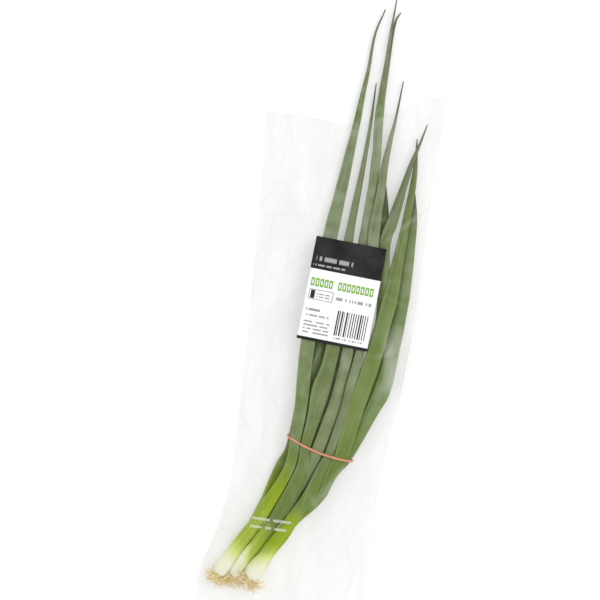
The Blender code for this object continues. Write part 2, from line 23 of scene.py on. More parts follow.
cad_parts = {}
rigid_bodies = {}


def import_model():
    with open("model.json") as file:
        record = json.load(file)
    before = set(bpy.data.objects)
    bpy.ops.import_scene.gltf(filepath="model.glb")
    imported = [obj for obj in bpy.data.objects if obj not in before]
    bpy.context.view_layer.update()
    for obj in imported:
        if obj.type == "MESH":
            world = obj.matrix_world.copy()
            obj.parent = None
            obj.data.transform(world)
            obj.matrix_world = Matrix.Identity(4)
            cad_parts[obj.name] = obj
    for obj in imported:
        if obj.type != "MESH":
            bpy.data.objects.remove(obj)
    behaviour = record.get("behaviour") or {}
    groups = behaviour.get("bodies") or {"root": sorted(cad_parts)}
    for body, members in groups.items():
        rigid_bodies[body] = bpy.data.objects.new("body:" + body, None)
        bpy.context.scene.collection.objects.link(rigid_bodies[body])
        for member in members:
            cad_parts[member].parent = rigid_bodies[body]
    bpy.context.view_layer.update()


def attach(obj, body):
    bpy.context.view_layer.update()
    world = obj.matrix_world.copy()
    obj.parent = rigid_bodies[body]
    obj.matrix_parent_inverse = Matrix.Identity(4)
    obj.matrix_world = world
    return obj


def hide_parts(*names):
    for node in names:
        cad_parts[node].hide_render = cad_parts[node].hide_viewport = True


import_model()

bl_info = {
    "name": "Bagged Green Shallots",
    "version": (1, 0, 0),
    "blender": (4, 5, 0),
    "location": "View3D > Sidebar > Shallots",
    "description": "Grows a tied bunch of green shallots and packs it in a clear labelled bag",
    "category": "Object",
}

MILLIMETRE = 0.001
CENTRE = (-1.0, 42.0, 0.0)

# The bag's outline
BAG_FOOT_Y = -237.0
BAG_LEFT_EDGE = [
    (-83, BAG_FOOT_Y), (-82, -205), (-73, -172), (-67, -125), (-67.5, -40), (-74, 130), (-79, 206),
]
BAG_RIGHT_EDGE = [(65, BAG_FOOT_Y), (65, -160), (69, -82), (76, -12), (78.5, 60), (78.5, 150), (81, 241)]
BAG_MOUTH = [(-79, 205), (-48, 206.5), (-18, 204), (4, 205), (28, 216), (57, 231), (81, 241)]

# The front sheet's height at the seam and its least height elsewhere, the passes that pull it taut, and
# how many soft waves and narrow creases it has
SEAM_HEIGHT = 0.35
LEAST_HEIGHT = 0.9
FILM_PASSES = 260
SWELLS = 14
CREASES = 110

# The plain marks printed on the film: left and right end and foot of each, and their height
FILM_MARKS = [
    (-43, -27, -157.8), (-24, -8, -157.8), (-44, -33, -165.2), (-30, -25, -165.2), (-22, -11, -165.2),
]
MARK_HEIGHT = 2.2

# Stems and leaves, as in the solids but for fuller stems and sheaths that close more gently
SPAN_POINTS = 16
STEM_POINTS = 60
WHITE_LENGTH = 27.0
BULB_HEIGHT = 9.0
BULB_FADE = 20.0
BASE_SHARE = 0.55
SHEATH_END_SHARE = 0.2
SHEATH_DOME = 24.0
STEM_SHOULDER = 0.72
STEM_FULLNESS = 0.25
LEAF_HALF_THICKNESS = 3.4
THICKNESS_SHARE = 0.62

# How low and high the roots can lie, and how far towards the bag's left side and foot they can reach. A
# pair is the range that each strand draws its own limit from.
ROOT_LOW = (1.0, 2.0)
ROOT_HIGH = 17.0
ROOT_LEFT = (-79.5, -77.5)
ROOT_FOOT = (-231.0, -227.0)

# The tie: its middle and turn, how far its front sags, how much of the leaves' length it is pulled over,
# its gap to them, and its mesh
BAND_CENTRE = (10.6, -87.8)
BAND_TURN = math.radians(-14)
BAND_SAG = 4.0
BAND_REACH = 5.0
BAND_GAP = 0.12
BAND_STATIONS = 150
BAND_SIDES = 12

# The label
LABEL_CENTRE = (10.0, 52.5)
LABEL_WIDTH = 64.0
LABEL_HEIGHT = 93.0
LABEL_TURN = math.radians(-3.6)
LABEL_COLUMNS = 32
LABEL_ROWS = 46
LABEL_PASSES = 500

# The studio, in metres from the middle of the bag on the floor
FLOOR_SIZE = 6.0
FLOOR_HEIGHT = -0.0003
LAMP_SIZE = 1.8
LAMP_PLACE = (1.5, 0.6, 2.3)
CAMERA_PLACE = (-0.0252, -0.0001)
CAMERA_TURN = math.radians(7.6)
SENSOR_WIDTH = 36.0

# Each shallot: its stem, the radius of its bulb and neck, how far its roots spread, how much further
# its green reaches down on the right than in the middle, how its colour changes with the distance
# from its roots, and its leaves. A point of a leaf is x, y, z and the leaf's half width there. Colour
# runs from 0, white, over 1, pale, 2, bright and 3, mid green, to 4, grey green.
SHALLOTS = {
    "left": {
        "stem": [
            (-66.9, -211.7, 10.2), (-63.9, -204.8, 10.2), (-56.5, -191, 9), (-46, -173, 8.2),
            (-36.8, -157.5, 7.8), (-33, -150.5, 7.8),
        ],
        "bulb": 6.3,
        "neck": 5.4,
        "spread": 8.0,
        "slant": 1.0,
        "stages": [
            (0, 0), (14, 0.1), (24, 0.8), (38, 1.75), (75, 2), (95, 2.05), (130, 2.9), (260, 3.5), (420, 3.7),
            (445, 3), (500, 3.8),
        ],
        "leaves": {
            "tall": [
                (-42, -166, 8, 4.4), (-32.6, -147, 10.4, 5.9), (-22, -124, 12.6, 5), (-15, -104, 13.2, 4.5),
                (-13.8, -84, 13.2, 4.7), (-12.8, -50, 13.2, 5.7), (-14.2, -5, 13, 6.4), (-12.4, 45, 11.4, 7),
                (-9.8, 75, 8.8, 6.9), (-6.3, 108, 6.6, 6.6), (-0.3, 168, 4.6, 4.5), (3.4, 206, 4, 3.1),
                (5, 228, 3.6, 2.5), (7.5, 255, 3.2, 1.6), (9.1, 287, 2.8, 1.1), (15.5, 311, 2.4, 0.45),
            ],
            "outer": [
                (-43, -167, 7.4, 4.2), (-37.5, -152, 6.4, 4.4), (-33, -138, 5.8, 4), (-28.2, -122, 5.4, 4.7),
                (-23.6, -107, 5.4, 4.7), (-16.8, -88, 5.9, 4.2), (-13.6, -45, 5, 4.8), (-14.2, 0, 4.8, 5.2),
                (-12, 40, 4.6, 4), (-9.6, 74, 4.4, 0.6),
            ],
            "inner": [
                (-39.6, -164.6, 7.8, 4.3), (-30, -146.6, 6.6, 5.2), (-19.4, -122.4, 5.8, 4.8),
                (-11.4, -100, 5.8, 4.4), (-8, -84, 5.9, 4.2), (-4.6, -50, 5.8, 5), (-3.6, -17, 6.6, 5.6),
                (-2.8, 5, 6.6, 5.4), (-1, 40, 5.8, 4.4), (1.4, 66, 5.4, 0.6),
            ],
        },
    },
    "middle": {
        "stem": [
            (-53.6, -211.8, 7.8), (-50.5, -205.2, 7.8), (-43.4, -191.7, 7.8), (-37.2, -182.6, 7.7),
            (-32, -173, 7.6), (-21.8, -157.5, 7.4), (-17.5, -150, 7.4),
        ],
        "bulb": 5.7,
        "neck": 5.5,
        "spread": 7.6,
        "slant": 9.0,
        "stages": [
            (0, 0), (14, 0.1), (21, 0.7), (28, 1.6), (46, 2.1), (64, 3.2), (260, 3.7), (420, 3.8), (445, 3.2),
            (500, 3.8),
        ],
        "leaves": {
            "short": [
                (-27, -166, 7.8, 4.8), (-19.6, -149, 10.2, 6), (-9.2, -124, 12.8, 6.2), (-4, -106, 13.6, 5.7),
                (-3.6, -86, 13.6, 4.9), (0.2, -60, 13.8, 6.3), (2.8, -36, 13.8, 8.4), (6.4, -17, 13.8, 6.8),
                (8.8, 4, 13.6, 6.8), (9.2, 40, 12.2, 6.8), (9.6, 75, 9.2, 5.6), (10.6, 111, 6.2, 3.9),
                (14.4, 170, 4.2, 2.3), (15.9, 208, 3.6, 1.3), (16, 244, 3, 0.45),
            ],
            "tall": [
                (-25.5, -163, 7.4, 4.2), (-15.4, -147, 9, 4.8), (-5.4, -125, 11.2, 4.8),
                (1.8, -107, 12.6, 4.7), (7.6, -88, 13.8, 5.6), (16.4, -50, 13.8, 5.4),
                (19.6, -27, 13.6, 4.8), (22.4, 0, 13.4, 5.3), (23.6, 40, 12.4, 5.4), (24.4, 75, 9.8, 5.2),
                (24.6, 110, 7.4, 4.8), (25.2, 140, 6.6, 4.3), (25.5, 171, 6.4, 3.9), (23.1, 209, 6.2, 3.9),
                (22.5, 232, 5.4, 3.2), (22.8, 262, 4.8, 1.9), (23, 290, 4.2, 1.2), (24.4, 321, 3.6, 0.45),
            ],
            "behind": [
                (-25, -163, 6.8, 4.2), (-14.6, -146, 6.2, 4.6), (-4.6, -122, 5.6, 4.4), (1, -104, 5.7, 4.2),
                (4.8, -86, 5.8, 4.4), (11, -45, 5.2, 5.2), (16, 0, 5, 5.4), (22, 80, 4.4, 5),
                (24.6, 140, 3.6, 3.6), (23.4, 200, 3.2, 2.8), (23.8, 255, 2.8, 1.9), (25.4, 298, 2.6, 1.1),
                (29.5, 310, 2.4, 0.45),
            ],
            "dark": [
                (-24, -161, 6.8, 4), (-11, -143, 6, 4.2), (0.6, -120, 5.4, 4.2), (9, -104, 5.7, 4.2),
                (13.6, -86, 5.8, 4.2), (21.6, -45, 5, 4.6), (26.8, 0, 4.8, 4.8), (32, 60, 4.6, 4.8),
                (37.4, 108, 4.4, 5), (38.6, 128, 4.4, 4.2), (36.4, 150, 4.2, 1.6), (35.6, 158, 4.2, 0.45),
            ],
        },
    },
    "right": {
        "stem": [
            (-38.2, -211.4, 10.4), (-34.4, -204.2, 10.4), (-27.4, -191, 9.8), (-23, -182, 9.5),
            (-17.6, -173.5, 9.2), (-8, -158, 8.8), (-3.4, -150.5, 8.8),
        ],
        "bulb": 8.6,
        "neck": 6.4,
        "spread": 10.0,
        "slant": -5.0,
        "stages": [
            (0, 0), (9, 0.1), (16, 0.4), (23, 0.9), (29, 1.6), (38, 2), (64, 2.05), (80, 3), (260, 3.4),
            (520, 3.8),
        ],
        "leaves": {
            "slim": [
                (-13, -163, 8.8, 4.2), (-7.6, -152.7, 10, 4.6), (-0.6, -141, 11.2, 5), (5.8, -129, 12.2, 5.4),
                (10, -117, 12.8, 5.2), (13, -106, 13.2, 4.7), (18.2, -90.2, 13.6, 4), (26.4, -50, 13.8, 4),
                (29, -27, 13.8, 4.2), (33, 0, 13.8, 4.2), (34.8, 40, 13.8, 4), (34.2, 75, 13.2, 4.6),
                (31.9, 108, 12, 4.9), (33, 150, 9.6, 3.7), (33.5, 172, 7.6, 3.1), (35.6, 197, 5.4, 2),
                (37.3, 211, 4.4, 1.3), (40, 249, 3.2, 0.45),
            ],
            "broad": [
                (-9.5, -163, 9.2, 4), (-4.6, -155.4, 10.2, 3.6), (1.8, -147.4, 11.4, 3.6),
                (10, -137.6, 12.6, 4), (17, -127, 13.4, 4.1), (20.6, -115.5, 13.6, 4.7),
                (24, -104, 13.6, 5.6), (29.3, -90.5, 13.6, 6.5), (36, -50, 13.6, 7.2), (40.6, -27, 13.6, 7.3),
                (46, 0, 13.2, 7.3), (53.2, 48, 11.8, 6.8), (55.4, 74, 9.6, 5.7), (58.3, 109, 7, 4.1),
                (60.8, 152, 5.2, 2.9), (60.8, 176, 4.4, 1.8), (59, 199, 3.6, 0.45),
            ],
            "crossing": [
                (-10, -160, 8, 4.2), (2.6, -142, 6.8, 4.6), (15, -118, 6, 4.6), (23.6, -98, 5.9, 4.6),
                (28.6, -84, 5.9, 4.6), (41.6, -48, 5.6, 5), (48.6, -6, 6, 5.4), (48.6, 44, 7.4, 5.6),
                (43.6, 85, 9.4, 5.4), (43.2, 107, 10.6, 5.1), (46.6, 122, 9.8, 5), (52.6, 155, 7.6, 3.2),
                (56.9, 176, 6.6, 2.1), (62, 195, 5.6, 1.2), (66.5, 213, 4.8, 0.45),
            ],
            "edge": [
                (-8.6, -158, 8.4, 4.6), (4.8, -141, 9.6, 4.8), (18.2, -119, 10.8, 4.4),
                (26.8, -104, 10.6, 4.4), (34.8, -91, 10, 4.8), (50.4, -50, 9.4, 6.4), (58, -27, 9, 7.4),
                (62.4, 10, 7.6, 6.4), (65.6, 49, 6.2, 5.6), (66, 75, 5.2, 5.2), (66, 110, 4.4, 4.1),
                (65.8, 130, 3.8, 2.6), (63.6, 150, 3.2, 0.45),
            ],
        },
    },
}

# How each leaf differs: its colour's offset, its waxy bloom, its tone, and the depth of its fold. The dark
# tones of the under-leaves, left_outer, left_inner and middle_dark, are painted shade.
LEAF_HABITS = {
    "left_tall": (0.2, 0.9, 0.95, 0.3),
    "left_outer": (0.0, 0.1, 0.72, 0.0),
    "left_inner": (-0.2, 0.1, 0.72, 0.0),
    "middle_short": (0.0, 0.35, 0.97, 0.5),
    "middle_tall": (0.4, 0.8, 1.05, 0.25),
    "middle_behind": (0.3, 0.5, 0.95, 0.0),
    "middle_dark": (-0.6, 0.0, 0.62, 0.0),
    "right_slim": (0.8, 0.7, 1.0, 0.2),
    "right_broad": (-0.3, 0.3, 0.98, 0.7),
    "right_crossing": (0.2, 0.3, 0.9, 0.3),
    "right_edge": (0.0, 0.55, 1.03, 0.4),
}


def colour_property(label, description, default):
    return FloatVectorProperty(
        name=label, description=description, default=default, subtype="COLOR", size=3, min=0, max=1
    )


def length_property(label, description, default):
    return FloatProperty(
        name=label, description=description, default=default, subtype="DISTANCE", unit="LENGTH", min=0,
        precision=5,
    )


def count_property(label, description, default):
    return IntProperty(name=label, description=description, default=default, min=8, max=200)


def share_property(label, description, default):
    return FloatProperty(
        name=label, description=description, default=default, subtype="FACTOR", min=0, max=1
    )


class LeafSettings(bpy.types.PropertyGroup):
    """Sizes and colours of the leaves and shanks."""

    station_spacing: length_property("Ring spacing", "Distance between the rings of a leaf or stem", 0.0025)
    leaf_sides: count_property("Leaf sides", "Corners in a leaf's ring", 24)
    stem_sides: count_property("Stem sides", "Corners in a stem's ring", 40)
    rib_depth: length_property("Rib depth", "Height of the soft ribs that run along a leaf", 0.00016)
    white: colour_property("White", "Shank by the roots", (0.76, 0.75, 0.6))
    pale: colour_property("Pale green", "Where the shank turns green", (0.54, 0.62, 0.16))
    bright: colour_property("Bright green", "Young sheath", (0.24, 0.335, 0.008))
    middle: colour_property("Mid green", "Leaf above the tie", (0.126, 0.19, 0.031))
    grey: colour_property("Grey green", "Upper leaf", (0.138, 0.17, 0.07))
    bloom: colour_property("Wax bloom", "Pale waxy film on the leaves", (0.34, 0.4, 0.29))
    margin: colour_property("Margin", "Thin pale edge of a leaf", (0.36, 0.44, 0.17))
    dried: colour_property("Dried tip", "Wilted end of a leaf", (0.095, 0.08, 0.075))
    vein: colour_property("Vein", "Faint green veins in the shank", (0.5, 0.62, 0.28))
    scuff: colour_property("Scuff", "Brown scuffs where the shank meets the roots", (0.45, 0.3, 0.13))
    roughness: share_property("Roughness", "Roughness of the leaf's wax", 0.42)


class RootSettings(bpy.types.PropertyGroup):
    """Sizes and colours of the root tufts."""

    strands: count_property("Strands", "Fine roots in each tuft", 95)
    radius: length_property("Strand radius", "Radius of a fine root where it leaves the plate", 0.0004)
    light: colour_property("Light root", "Fresh, pale roots", (0.98, 0.88, 0.46))
    dark: colour_property("Dark root", "Old, dry roots", (0.5, 0.33, 0.1))


class BandSettings(bpy.types.PropertyGroup):
    """Sizes and colours of the tie."""

    width: length_property("Width", "Width of the rubber band", 0.0021)
    thickness: length_property("Thickness", "Thickness of the rubber band", 0.0011)
    rubber: colour_property("Rubber", "Face of the band", (0.62, 0.26, 0.15))
    # Painted shade: the dark red that the band takes towards its edges
    edge: colour_property("Cut edge", "Edges of the band", (0.38, 0.06, 0.03))


class BagSettings(bpy.types.PropertyGroup):
    """Sizes and colours of the film bag."""

    thickness: length_property("Film thickness", "Thickness of each sheet of film", 0.00012)
    cell: length_property("Cell", "Size of the film's mesh cells", 0.0022)
    clearance: length_property("Clearance", "Least gap between the film and what it holds", 0.00035)
    fold_height: length_property("Fold height", "Height of the strongest folds", 0.0026)
    haze: share_property("Haze", "How milky each face of the film is where it stands off", 0.058)
    tint: colour_property("Tint", "Colour of the film", (0.64, 0.645, 0.61))
    ink: colour_property("Ink", "Plain marks printed near the foot", (0.9, 0.92, 0.72))


class LabelSettings(bpy.types.PropertyGroup):
    """Sizes and colours of the label."""

    thickness: length_property("Thickness", "Thickness of the label", 0.00018)
    paper: colour_property("Paper", "Coated paper", (0.86, 0.87, 0.87))
    black: colour_property("Black ink", "Header, foot strip and upright bars", (0.009, 0.009, 0.01))
    green: colour_property("Green ink", "Plain boxes in the title's place", (0.2, 0.42, 0.05))
    grey: colour_property("Grey ink", "Small lines", (0.16, 0.16, 0.17))


class StageSettings(bpy.types.PropertyGroup):
    """The studio: floor, light and camera."""

    floor: colour_property("Floor", "Plain floor", (0.54, 0.54, 0.54))
    glow: share_property("Floor glow", "How much the floor itself shines, like a light table", 0.4)
    sky: FloatProperty(name="Sky", description="Strength of the even white light", default=1.0, min=0)
    lamp: FloatProperty(name="Lamp", description="Power of the soft lamp", default=18.0, min=0, unit="POWER")
    camera_height: length_property("Camera height", "Height of the camera over the floor", 2.2)
    view_width: length_property("View width", "Width of the floor that the camera sees", 0.54)


def to_metres(points):
    return (np.asarray(points, float) - CENTRE) * MILLIMETRE


def to_millimetres(points):
    return np.asarray(points, float) / MILLIMETRE + CENTRE


def smoothstep(low, high, value):
    share = np.clip((np.asarray(value, float) - low) / (high - low), 0, 1)
    return share * share * (3 - 2 * share)


def distances(route):
    return np.concatenate([[0], np.cumsum(np.linalg.norm(np.diff(route[:, :3], axis=0), axis=1))])


def resampled(table, along, wanted):
    """The rows of a table, which belong to these distances, at the wanted ones."""
    return np.column_stack([np.interp(wanted, along, column) for column in table.T])


def smooth_route(points, count):
    """That many evenly spaced points on a Catmull-Rom curve through the given ones."""
    given = np.asarray(points, float)
    padded = np.vstack([2 * given[0] - given[1], given, 2 * given[-1] - given[-2]])
    dense = []
    for i in range(1, len(padded) - 2):
        before, start, end, after = padded[i - 1 : i + 3]
        for t in np.linspace(0, 1, SPAN_POINTS, endpoint=False):
            dense.append(0.5 * (
                2 * start + (end - before) * t
                + (2 * before - 5 * start + 4 * end - after) * t**2
                + (3 * start - before - 3 * end + after) * t**3
            ))
    dense = np.array(dense + [given[-1]])
    along = distances(dense)
    return resampled(dense, along, np.linspace(0, along[-1], count))


def turns(count):
    """That many even angles round a circle."""
    return np.arange(count) * math.tau / count


def bulged(value, power):
    """A cosine or sine with fuller flanks, the more so the smaller the power."""
    return np.sign(value) * np.abs(value) ** power


def rings_round(route, side, lift, x, z):
    """Rings of points round a route, from how far to the side and upwards each point is."""
    return route[:, None, :3] + side[:, None, :] * x[..., None] + lift[:, None, :] * z[..., None]


def side_and_lift(route):
    """Unit vectors at each point of a route: one level and to its right, one square to both."""
    tangent = np.gradient(route[:, :3], axis=0)
    tangent /= np.linalg.norm(tangent, axis=1)[:, None]
    side = np.cross(tangent, (0, 0, 1))
    side /= np.linalg.norm(side, axis=1)[:, None]
    return side, np.cross(side, tangent)


def drifting(rng, along, wavelengths, sharpness=1.0):
    """A smooth seeded wander between about -1 and 1 along a route."""
    total = np.zeros_like(along)
    for wavelength in wavelengths:
        total += np.sin(math.tau * along / wavelength + rng.uniform(0, math.tau))
    return np.tanh(sharpness * total / math.sqrt(len(wavelengths)))


class Skin:
    """Gathers the points, faces and surface values of one mesh."""

    def __init__(self):
        self.points = []
        self.faces = []
        self.values = {}
        self.count = 0

    def add(self, points, faces, **values):
        self.points.append(points)
        self.faces += [tuple(int(v) + self.count for v in face) for face in faces]
        for name, value in values.items():
            self.values.setdefault(name, []).append(np.asarray(value, float))
        self.count += len(points)

    def tube(self, rings, **values):
        """A tube through rings of points, with flat ends. Values are per station and corner."""
        stations, sides = rings.shape[:2]
        index = np.arange(stations * sides).reshape(stations, sides)
        nearby = np.roll(index, -1, axis=1)
        faces = np.stack([index[:-1], index[1:], nearby[1:], nearby[:-1]], axis=-1).reshape(-1, 4).tolist()
        faces += [index[0].tolist(), index[-1][::-1].tolist()]
        flat = {}
        for name, value in values.items():
            value = np.asarray(value, float)
            flat[name] = value.reshape(stations * sides, *value.shape[2:])
        self.add(rings.reshape(-1, 3), faces, **flat)

    def piece(self, name, material, slot, replaced, sharp=50):
        mesh = bpy.data.meshes.new(name)
        mesh.from_pydata(to_metres(np.vstack(self.points)).tolist(), [], self.faces)
        for attribute, parts in self.values.items():
            whole = np.concatenate(parts).astype(np.float32)
            kind, key = ("FLOAT", "value") if whole.ndim == 1 else ("FLOAT_VECTOR", "vector")
            mesh.attributes.new(attribute, kind, "POINT").data.foreach_set(key, whole.ravel())
        mesh.shade_smooth()
        mesh.set_sharp_from_angle(angle=math.radians(sharp))
        mesh.materials.append(material)
        obj = bpy.data.objects.new(name, mesh)
        bpy.context.scene.collection.objects.link(obj)
        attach(obj, "root")
        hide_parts(*replaced)
        return obj


def leaf_rings(rng, route, sides, rib_depth, fold):
    """Rings of a flattened, softly ribbed leaf, with the angle of each corner."""
    along = distances(route)
    side, lift = side_and_lift(route)
    least = 0.3
    half_width = np.maximum(route[:, 3], least) * (1 + 0.025 * drifting(rng, along, (31, 53, 90)))
    half_thickness = np.minimum(LEAF_HALF_THICKNESS, np.maximum(half_width * THICKNESS_SHARE, least))
    angle = turns(sides)
    across = np.tile(np.cos(angle), (len(route), 1))
    upwards = np.tile(bulged(np.sin(angle), np.where(np.sin(angle) > 0, 0.7, 0.95)), (len(route), 1))
    ribs = np.zeros_like(across)
    for waves, share in ((3, 1.5), (5, 1.0), (8, 0.8), (12, 0.5)):
        phase = rng.uniform(0, math.tau) + 0.7 * drifting(rng, along, (70, 130, 190))
        ribs += share * np.cos(waves * angle[None, :] + phase[:, None])
    ribs *= rib_depth * np.clip(half_width / 4, 0.15, 1.2)[:, None]
    sway = 0.18 * drifting(rng, along, (85, 140, 230))
    crease = fold * np.exp(-(((across - sway[:, None]) / 0.16) ** 2)) * (upwards > 0)
    crease *= smoothstep(4, 7, half_width)[:, None]
    x = across * (half_width[:, None] + ribs)
    z = upwards * (half_thickness[:, None] + ribs) - crease
    return rings_round(route, side, lift, x, z), angle


def grain_of(angle, along, radius):
    """A place on the skin for streaks: round the tube in millimetres, and along it."""
    turn, far = np.broadcast_arrays(angle[None, :], along[:, None])
    return np.stack([np.cos(turn) * radius, np.sin(turn) * radius, far], axis=-1)


def margin_of(angle):
    """1 along a leaf's pale left margin, about half as much along its right one, and 0 elsewhere."""
    left = np.exp(-(((angle - 0.86 * math.pi) / 0.2) ** 2))
    right = np.exp(-(((angle - 0.12 * math.pi) / 0.16) ** 2))
    return left + 0.45 * right


def stem_radius(distance, length, bulb, neck):
    """The radius of a stem at a distance from its root plate."""
    swelling = neck + (bulb - neck) * (1 - smoothstep(BULB_HEIGHT, BULB_HEIGHT + BULB_FADE, distance))
    rise = np.clip(1 - distance / BULB_HEIGHT, 0, 1)
    rounded = BASE_SHARE + (1 - BASE_SHARE) * np.sqrt(1 - rise**2)
    closing = np.clip((distance - (length - SHEATH_DOME)) / SHEATH_DOME, 0, 1)
    return swelling * rounded * (1 - (1 - SHEATH_END_SHARE) * closing**2)


def stem_rings(rng, whole, start, end, bulb, neck, settings):
    """Rings of a stretch of the stem, softly ribbed, with each corner's angle and each ring's distance."""
    far = distances(whole)
    count = max(4, round((end - start) / (settings.station_spacing / MILLIMETRE)) * 2)
    at = np.linspace(start, end, count)
    route, side, lift = (resampled(table, far, at) for table in (whole, *side_and_lift(whole)))
    angle = turns(settings.stem_sides)
    radius = np.tile(stem_radius(at, far[-1], bulb, neck)[:, None], (1, len(angle))) + STEM_FULLNESS
    for waves, share in ((2, 2.2), (3, 1.2), (7, 0.7), (13, 0.5)):
        phase = rng.uniform(0, math.tau) + at / 60
        radius += share * settings.rib_depth / MILLIMETRE * np.cos(waves * angle[None, :] + phase[:, None])
    x, z = radius * np.cos(angle), radius * bulged(np.sin(angle), STEM_SHOULDER)
    return rings_round(route, side, lift, x, z), angle, at


def grow_shallot(name, made_of, settings, leaf_material, shank_material):
    """One shallot's white shank, and its green sheath with its leaves."""
    whole = smooth_route(made_of["stem"], STEM_POINTS)
    far_along = distances(whole)
    far, stage = np.array(made_of["stages"], float).T
    least_bloom = 0.03
    shank, green = Skin(), Skin()
    for skin, start, end in ((shank, 0, WHITE_LENGTH), (green, WHITE_LENGTH, far_along[-1])):
        rng = random.Random(f"stem_{name}")
        rings, angle, at = stem_rings(rng, whole, start, end, made_of["bulb"], made_of["neck"], settings)
        shape = rings.shape[:2]
        skin.tube(
            rings,
            stage=np.interp(at[:, None] + made_of["slant"] * np.cos(angle)[None, :], far, stage),
            grain=grain_of(angle, at, made_of["neck"]),
            dryness=np.zeros(shape),
            tone=np.ones(shape),
            bloom=np.full(shape, least_bloom),
            margin=np.zeros(shape),
        )
    for leaf_name, points in made_of["leaves"].items():
        rng = random.Random(f"{name}_{leaf_name}")
        offset, bloom, tone, fold = LEAF_HABITS[f"{name}_{leaf_name}"]
        length = distances(smooth_route(points, 40))[-1]
        route = smooth_route(points, round(length / (settings.station_spacing / MILLIMETRE)))
        rings, angle = leaf_rings(rng, route, settings.leaf_sides, settings.rib_depth / MILLIMETRE, fold)
        walked = distances(route)
        along = walked + far_along[np.linalg.norm(whole - route[0, :3], axis=1).argmin()]
        to_tip = walked[-1] - walked
        colour = np.interp(along, far, stage) + offset * smoothstep(90, 160, along)
        dryness = np.clip(np.exp(-to_tip / 14) + 0.35 * np.exp(-to_tip / 32), 0, 1)
        # Painted shade darkens the leaves that lie under the others, by their habit's tone; on the other
        # leaves the tone differs at random
        shade = 1 + (tone - 1) * smoothstep(60, 110, along)
        wax = least_bloom + (bloom - least_bloom) * smoothstep(95, 190, along)
        elsewhere = np.array([rng.uniform(-90, 90), rng.uniform(-90, 90), 0])
        per_ring = {"stage": colour, "dryness": dryness, "tone": shade, "bloom": wax}
        green.tube(
            rings,
            grain=grain_of(angle, along, 4.0) + elsewhere,
            margin=margin_of(angle)[None, :] * smoothstep(2, 4.5, route[:, 3])[:, None],
            **{key: np.tile(value[:, None], (1, len(angle))) for key, value in per_ring.items()},
        )
    shank.piece(f"white_shank_{name}", shank_material, "shank_white", [f"shank_{name}"])
    green.piece(f"green_leaves_{name}", leaf_material, "leaf_green", [f"leaves_{name}"])


def grow_roots(name, made_of, settings, material):
    """A tuft of fine curling strands, on the plate that they grow from."""
    rng = random.Random(f"tuft_{name}")
    whole = smooth_route(made_of["stem"], STEM_POINTS)
    base = whole[0]
    away = whole[0] - whole[4]
    away /= np.linalg.norm(away)
    side = np.cross(away, (0, 0, 1))
    side /= np.linalg.norm(side)
    up = np.cross(side, away)
    plate = made_of["bulb"] * BASE_SHARE
    skin = Skin()
    turn = turns(24)
    reach = np.array([0.0, 0.5, 1.2, 1.9, 2.4])
    width = plate * np.array([0.99, 0.97, 0.86, 0.6, 0.28])
    circle = side * np.cos(turn)[:, None] - up * np.sin(turn)[:, None]
    bumps = 1 + 0.08 * np.cos(5 * turn + 1)[None, :, None]
    rings = base + away * reach[:, None, None] + circle[None] * width[:, None, None] * bumps
    skin.tube(rings[:, ::-1], dryness=np.full(rings.shape[:2], 0.9), strand=np.full(rings.shape[:2], 0.4))
    corner = turns(5)
    for _ in range(settings.strands):
        fan = rng.uniform(-1, 1)
        level = rng.uniform(-1, 1)
        walked = np.linspace(0, rng.uniform(0.5, 1.0) * (made_of["spread"] + 6), 12)
        heading = fan * rng.uniform(1.2, 2.4) + rng.uniform(-0.2, 0.2) * walked
        heading += rng.uniform(0.2, 0.6) * np.sin(walked * rng.uniform(0.4, 0.9) + rng.uniform(0, math.tau))
        ahead = 0.8 * np.cumsum(np.cos(heading)) * walked[1]
        aside = np.cumsum(np.sin(heading)) * walked[1]
        rise = level * 2.4 * smoothstep(0, 5, walked)
        rise += rng.uniform(-1.2, 1.2) * np.sin(walked / rng.uniform(2, 4))
        start = base + away * 1.0 + side * fan * plate * 0.75 + up * level * plate * 0.65
        points = start + away * ahead[:, None] + side * aside[:, None] + up * rise[:, None]
        # A strand that curls back runs over or under the bulb, not through it
        back = smoothstep(-1, 3, (points - base) @ -away)
        off_centre = np.abs(points[:, 2] - base[2])
        points[:, 2] += back * np.sign(level) * (made_of["bulb"] * 0.8 - off_centre * 0.5)
        points[:, 0] = np.maximum(points[:, 0], rng.uniform(*ROOT_LEFT))
        points[:, 1] = np.maximum(points[:, 1], rng.uniform(*ROOT_FOOT))
        points[:, 2] = np.clip(points[:, 2], rng.uniform(*ROOT_LOW), ROOT_HIGH)
        route = smooth_route(points, 18)
        radius = settings.radius / MILLIMETRE * rng.uniform(0.55, 1.1) * np.linspace(1, 0.4, len(route))
        x, z = radius[:, None] * np.cos(corner), radius[:, None] * np.sin(corner)
        rings = rings_round(route, *side_and_lift(route), x, z)
        dryness = np.tile(np.linspace(0.15, 0.9, len(route))[:, None], (1, len(corner)))
        skin.tube(rings, dryness=dryness, strand=np.full(rings.shape[:2], rng.random()))
    skin.piece(f"root_tuft_{name}", material, "root_tan", [f"roots_{name}"])


def corners_of(objects):
    """Every vertex and face of these objects, in millimetres and the bag's axes."""
    points, faces, count = [], [], 0
    for obj in objects:
        mesh = obj.data
        flat = np.zeros(len(mesh.vertices) * 3)
        mesh.vertices.foreach_get("co", flat)
        points.append(to_millimetres(flat.reshape(-1, 3)))
        faces += [[v + count for v in polygon.vertices] for polygon in mesh.polygons]
        count += len(mesh.vertices)
    return np.vstack(points), faces


def named(*prefixes):
    return [o for o in bpy.context.scene.objects if o.name.startswith(prefixes)]


